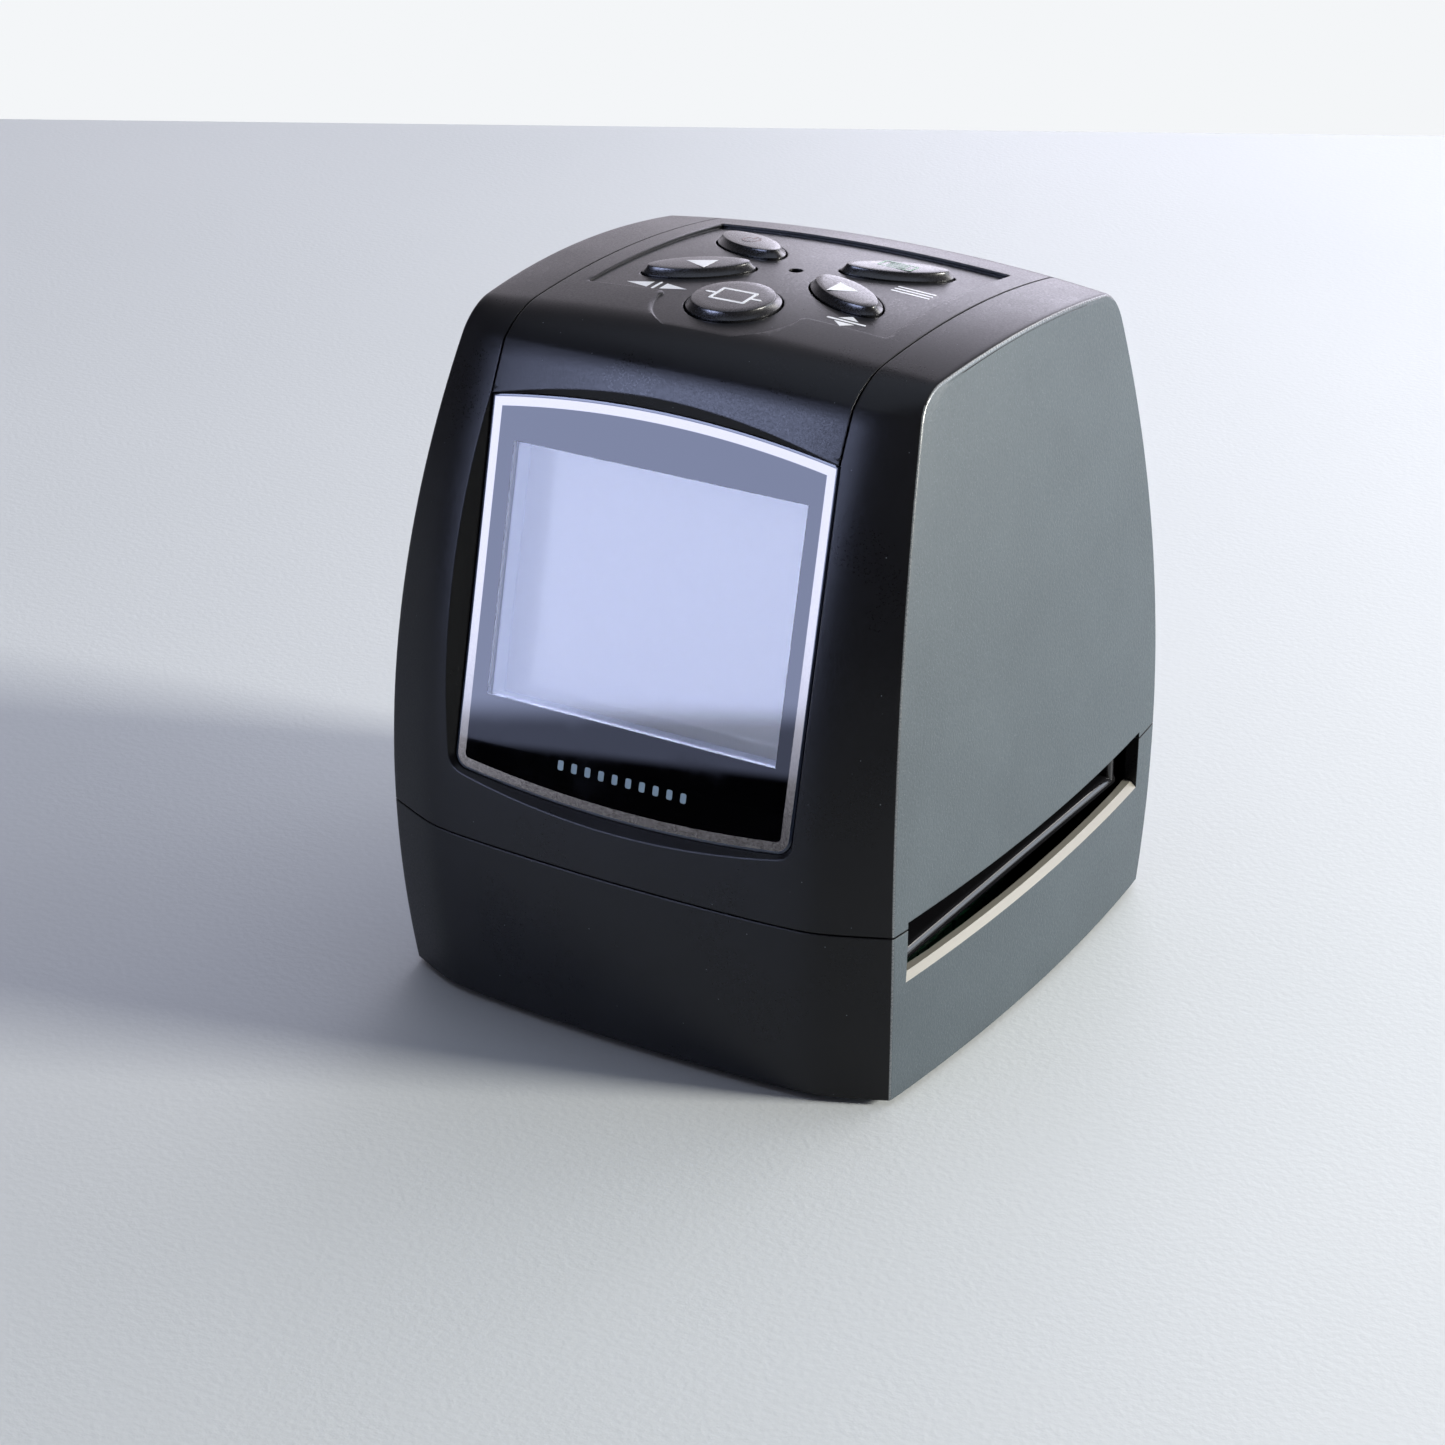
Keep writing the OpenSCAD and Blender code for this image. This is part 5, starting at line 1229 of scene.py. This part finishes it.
# %% Lamps
# name, direction seen from the body, distance and size in mm, watts, colour
LAMPS = (
    ("low_key", (0.93, 0.30, 0.29), 1300, (260, 200), 28.0, (1.0, 0.97, 0.89)),
    ("back_blind", (0.80, 0.58, 0.16), 1100, (1000, 500), 3.4, (0.83, 1.0, 1.16)),
    ("edge_light", (0.40, 0.77, 0.47), 1000, (520, 160), 1.4, (1.0, 0.99, 0.93)),
    ("rear_window", (-0.12, 0.94, 0.28), 1100, (900, 420), 3.7, (0.96, 0.94, 1.12)),
    ("overhead", (-0.1, 0.1, 1.0), 1200, (1200, 1200), 3.7, (0.86, 0.97, 1.22)),
)
AIM_AT = Vector((0, 0, 50))
for name, direction, away_mm, size_mm, watts, colour in LAMPS:
    data = bpy.data.lights.new(name, "AREA")
    data.shape = "RECTANGLE"
    data.size, data.size_y = size_mm[0] * MM, size_mm[1] * MM
    data.energy, data.color = watts, colour
    lamp = bpy.data.objects.new(name, data)
    aim = Vector(direction).normalized()
    lamp.location = (AIM_AT + aim * away_mm) * MM
    lamp.rotation_euler = aim.to_track_quat("Z", "Y").to_euler()
    bpy.context.scene.collection.objects.link(lamp)
print("lamps:", len(LAMPS))

# %% [markdown]
# A lit panel stands in front, and the glossy window and the band over it mirror it. From its foot
# upward it is dark, then dim, then bright, and brightest at the top. It gives reflections and no
# other light: camera and matt surfaces don't see it, and it throws no shadow. A black card on the
# table is painted shade: it stands in for shaded floor, so the foot of the window mirrors dark. It
# isn't seen itself and throws no shadow.

# %% Front panel and the black card of painted shade
PANEL_HALF, PANEL_FOOT, PANEL_TOP, PANEL_AWAY = 300, -20, 860, 1000
DIM, BRIGHT, BRIGHTEST = 1.3, 5.7, 4.0
# height of a step in mm, its slant, its softness in mm, and what it adds to the light
STEPS = ((27, 0.22, 7, BRIGHT - DIM), (7.5, 0.125, 2.5, DIM), (360, 0.0, 80, BRIGHTEST))
CARD_NEAR, CARD_FAR, CARD_HALF, CARD_UP = 0.42, 1.9, 700, 0.5

aim = Vector((-0.48, -0.88, 0)).normalized()
side = Vector((-aim.y, aim.x, 0))
centre = aim * PANEL_AWAY
panel = piece("front_panel", [(centre.x + side.x * a, centre.y + side.y * a, h) for a, h in (
    (-PANEL_HALF, PANEL_FOOT), (PANEL_HALF, PANEL_FOOT), (PANEL_HALF, PANEL_TOP),
    (-PANEL_HALF, PANEL_TOP))], [(0, 1, 2, 3)])
mat, tree, place = start("lit_front_panel")
level = None
for height, slant, soft, amount in STEPS:
    across = add(tree, "VectorMath", {0: place, 1: (-slant * side.x, -slant * side.y, 1.0)},
                 operation="DOT_PRODUCT")
    share = add(tree, "MapRange", {0: across.outputs["Value"], 1: (height - soft) * MM,
                                   2: (height + soft) * MM, 3: 0.0, 4: 1.0},
                interpolation_type="SMOOTHSTEP")
    part = add(tree, "Math", {0: share, 1: amount}, operation="MULTIPLY")
    level = part if level is None else add(tree, "Math", {0: level, 1: part}, operation="ADD")
finish_with(tree, add(tree, "Emission", {"Color": (0.90, 1.03, 1.60, 1.0), "Strength": level}))
dress(panel, mat)

# The card is painted shade: a dark sheet standing in for shaded floor that the window mirrors.
card = piece("painted_shade_card", [(centre.x * f + side.x * a, centre.y * f + side.y * a, CARD_UP) for f, a in (
    (CARD_NEAR, -CARD_HALF), (CARD_NEAR, CARD_HALF), (CARD_FAR, CARD_HALF), (CARD_FAR, -CARD_HALF))],
    [(0, 1, 2, 3)])
mat, tree, place = start("painted_shade_card")
felt = add(tree, "TexNoise", sized(place, 2.0))
colour = add(tree, "Mix", {0: felt, 6: linear("0a0a0b"), 7: linear("111113")}, data_type="RGBA")
finish_with(tree, add(tree, "BsdfDiffuse", {"Color": colour.outputs[2]}))
dress(card, mat)
panel.visible_camera = card.visible_camera = False
panel.visible_shadow = card.visible_shadow = False
panel.visible_diffuse = False
print("panel, mm:", 2 * PANEL_HALF, "by", PANEL_TOP - PANEL_FOOT)

# %% [markdown]
# The room itself gives a weak even light. Its far wall is brighter, but only near the horizon. The
# camera sees white instead.

# %% World
SKY, WALL_LIGHT = 0.10, 1.35
world = bpy.data.worlds.new("room")
world.use_nodes = True
bpy.context.scene.world = world
tree = world.node_tree
tree.nodes.clear()
seen = add(tree, "LightPath").outputs["Is Camera Ray"]
way = add(tree, "SeparateXYZ", {0: add(tree, "TexCoord").outputs["Generated"]})
behind = add(tree, "MapRange", {0: way.outputs[1], 1: 0.3, 2: 0.75, 3: 0.0, 4: WALL_LIGHT})
low = add(tree, "MapRange", {0: way.outputs[2], 1: 0.4, 2: 0.75, 3: 1.0, 4: 0.0})
wall_light = add(tree, "Math", {0: behind, 1: low}, operation="MULTIPLY")
level = add(tree, "Math", {0: wall_light, 1: SKY}, operation="ADD")
dim = add(tree, "Background", {"Color": linear("ece6f2"), "Strength": level})
pale = add(tree, "Background", {"Color": linear("f0f3f6"), "Strength": 1.0})
add(tree, "OutputWorld", {"Surface": add(tree, "MixShader", {0: seen, 1: dim, 2: pale})})
bpy.context.scene.view_settings.view_transform = "Standard"
print("world nodes:", len(tree.nodes))
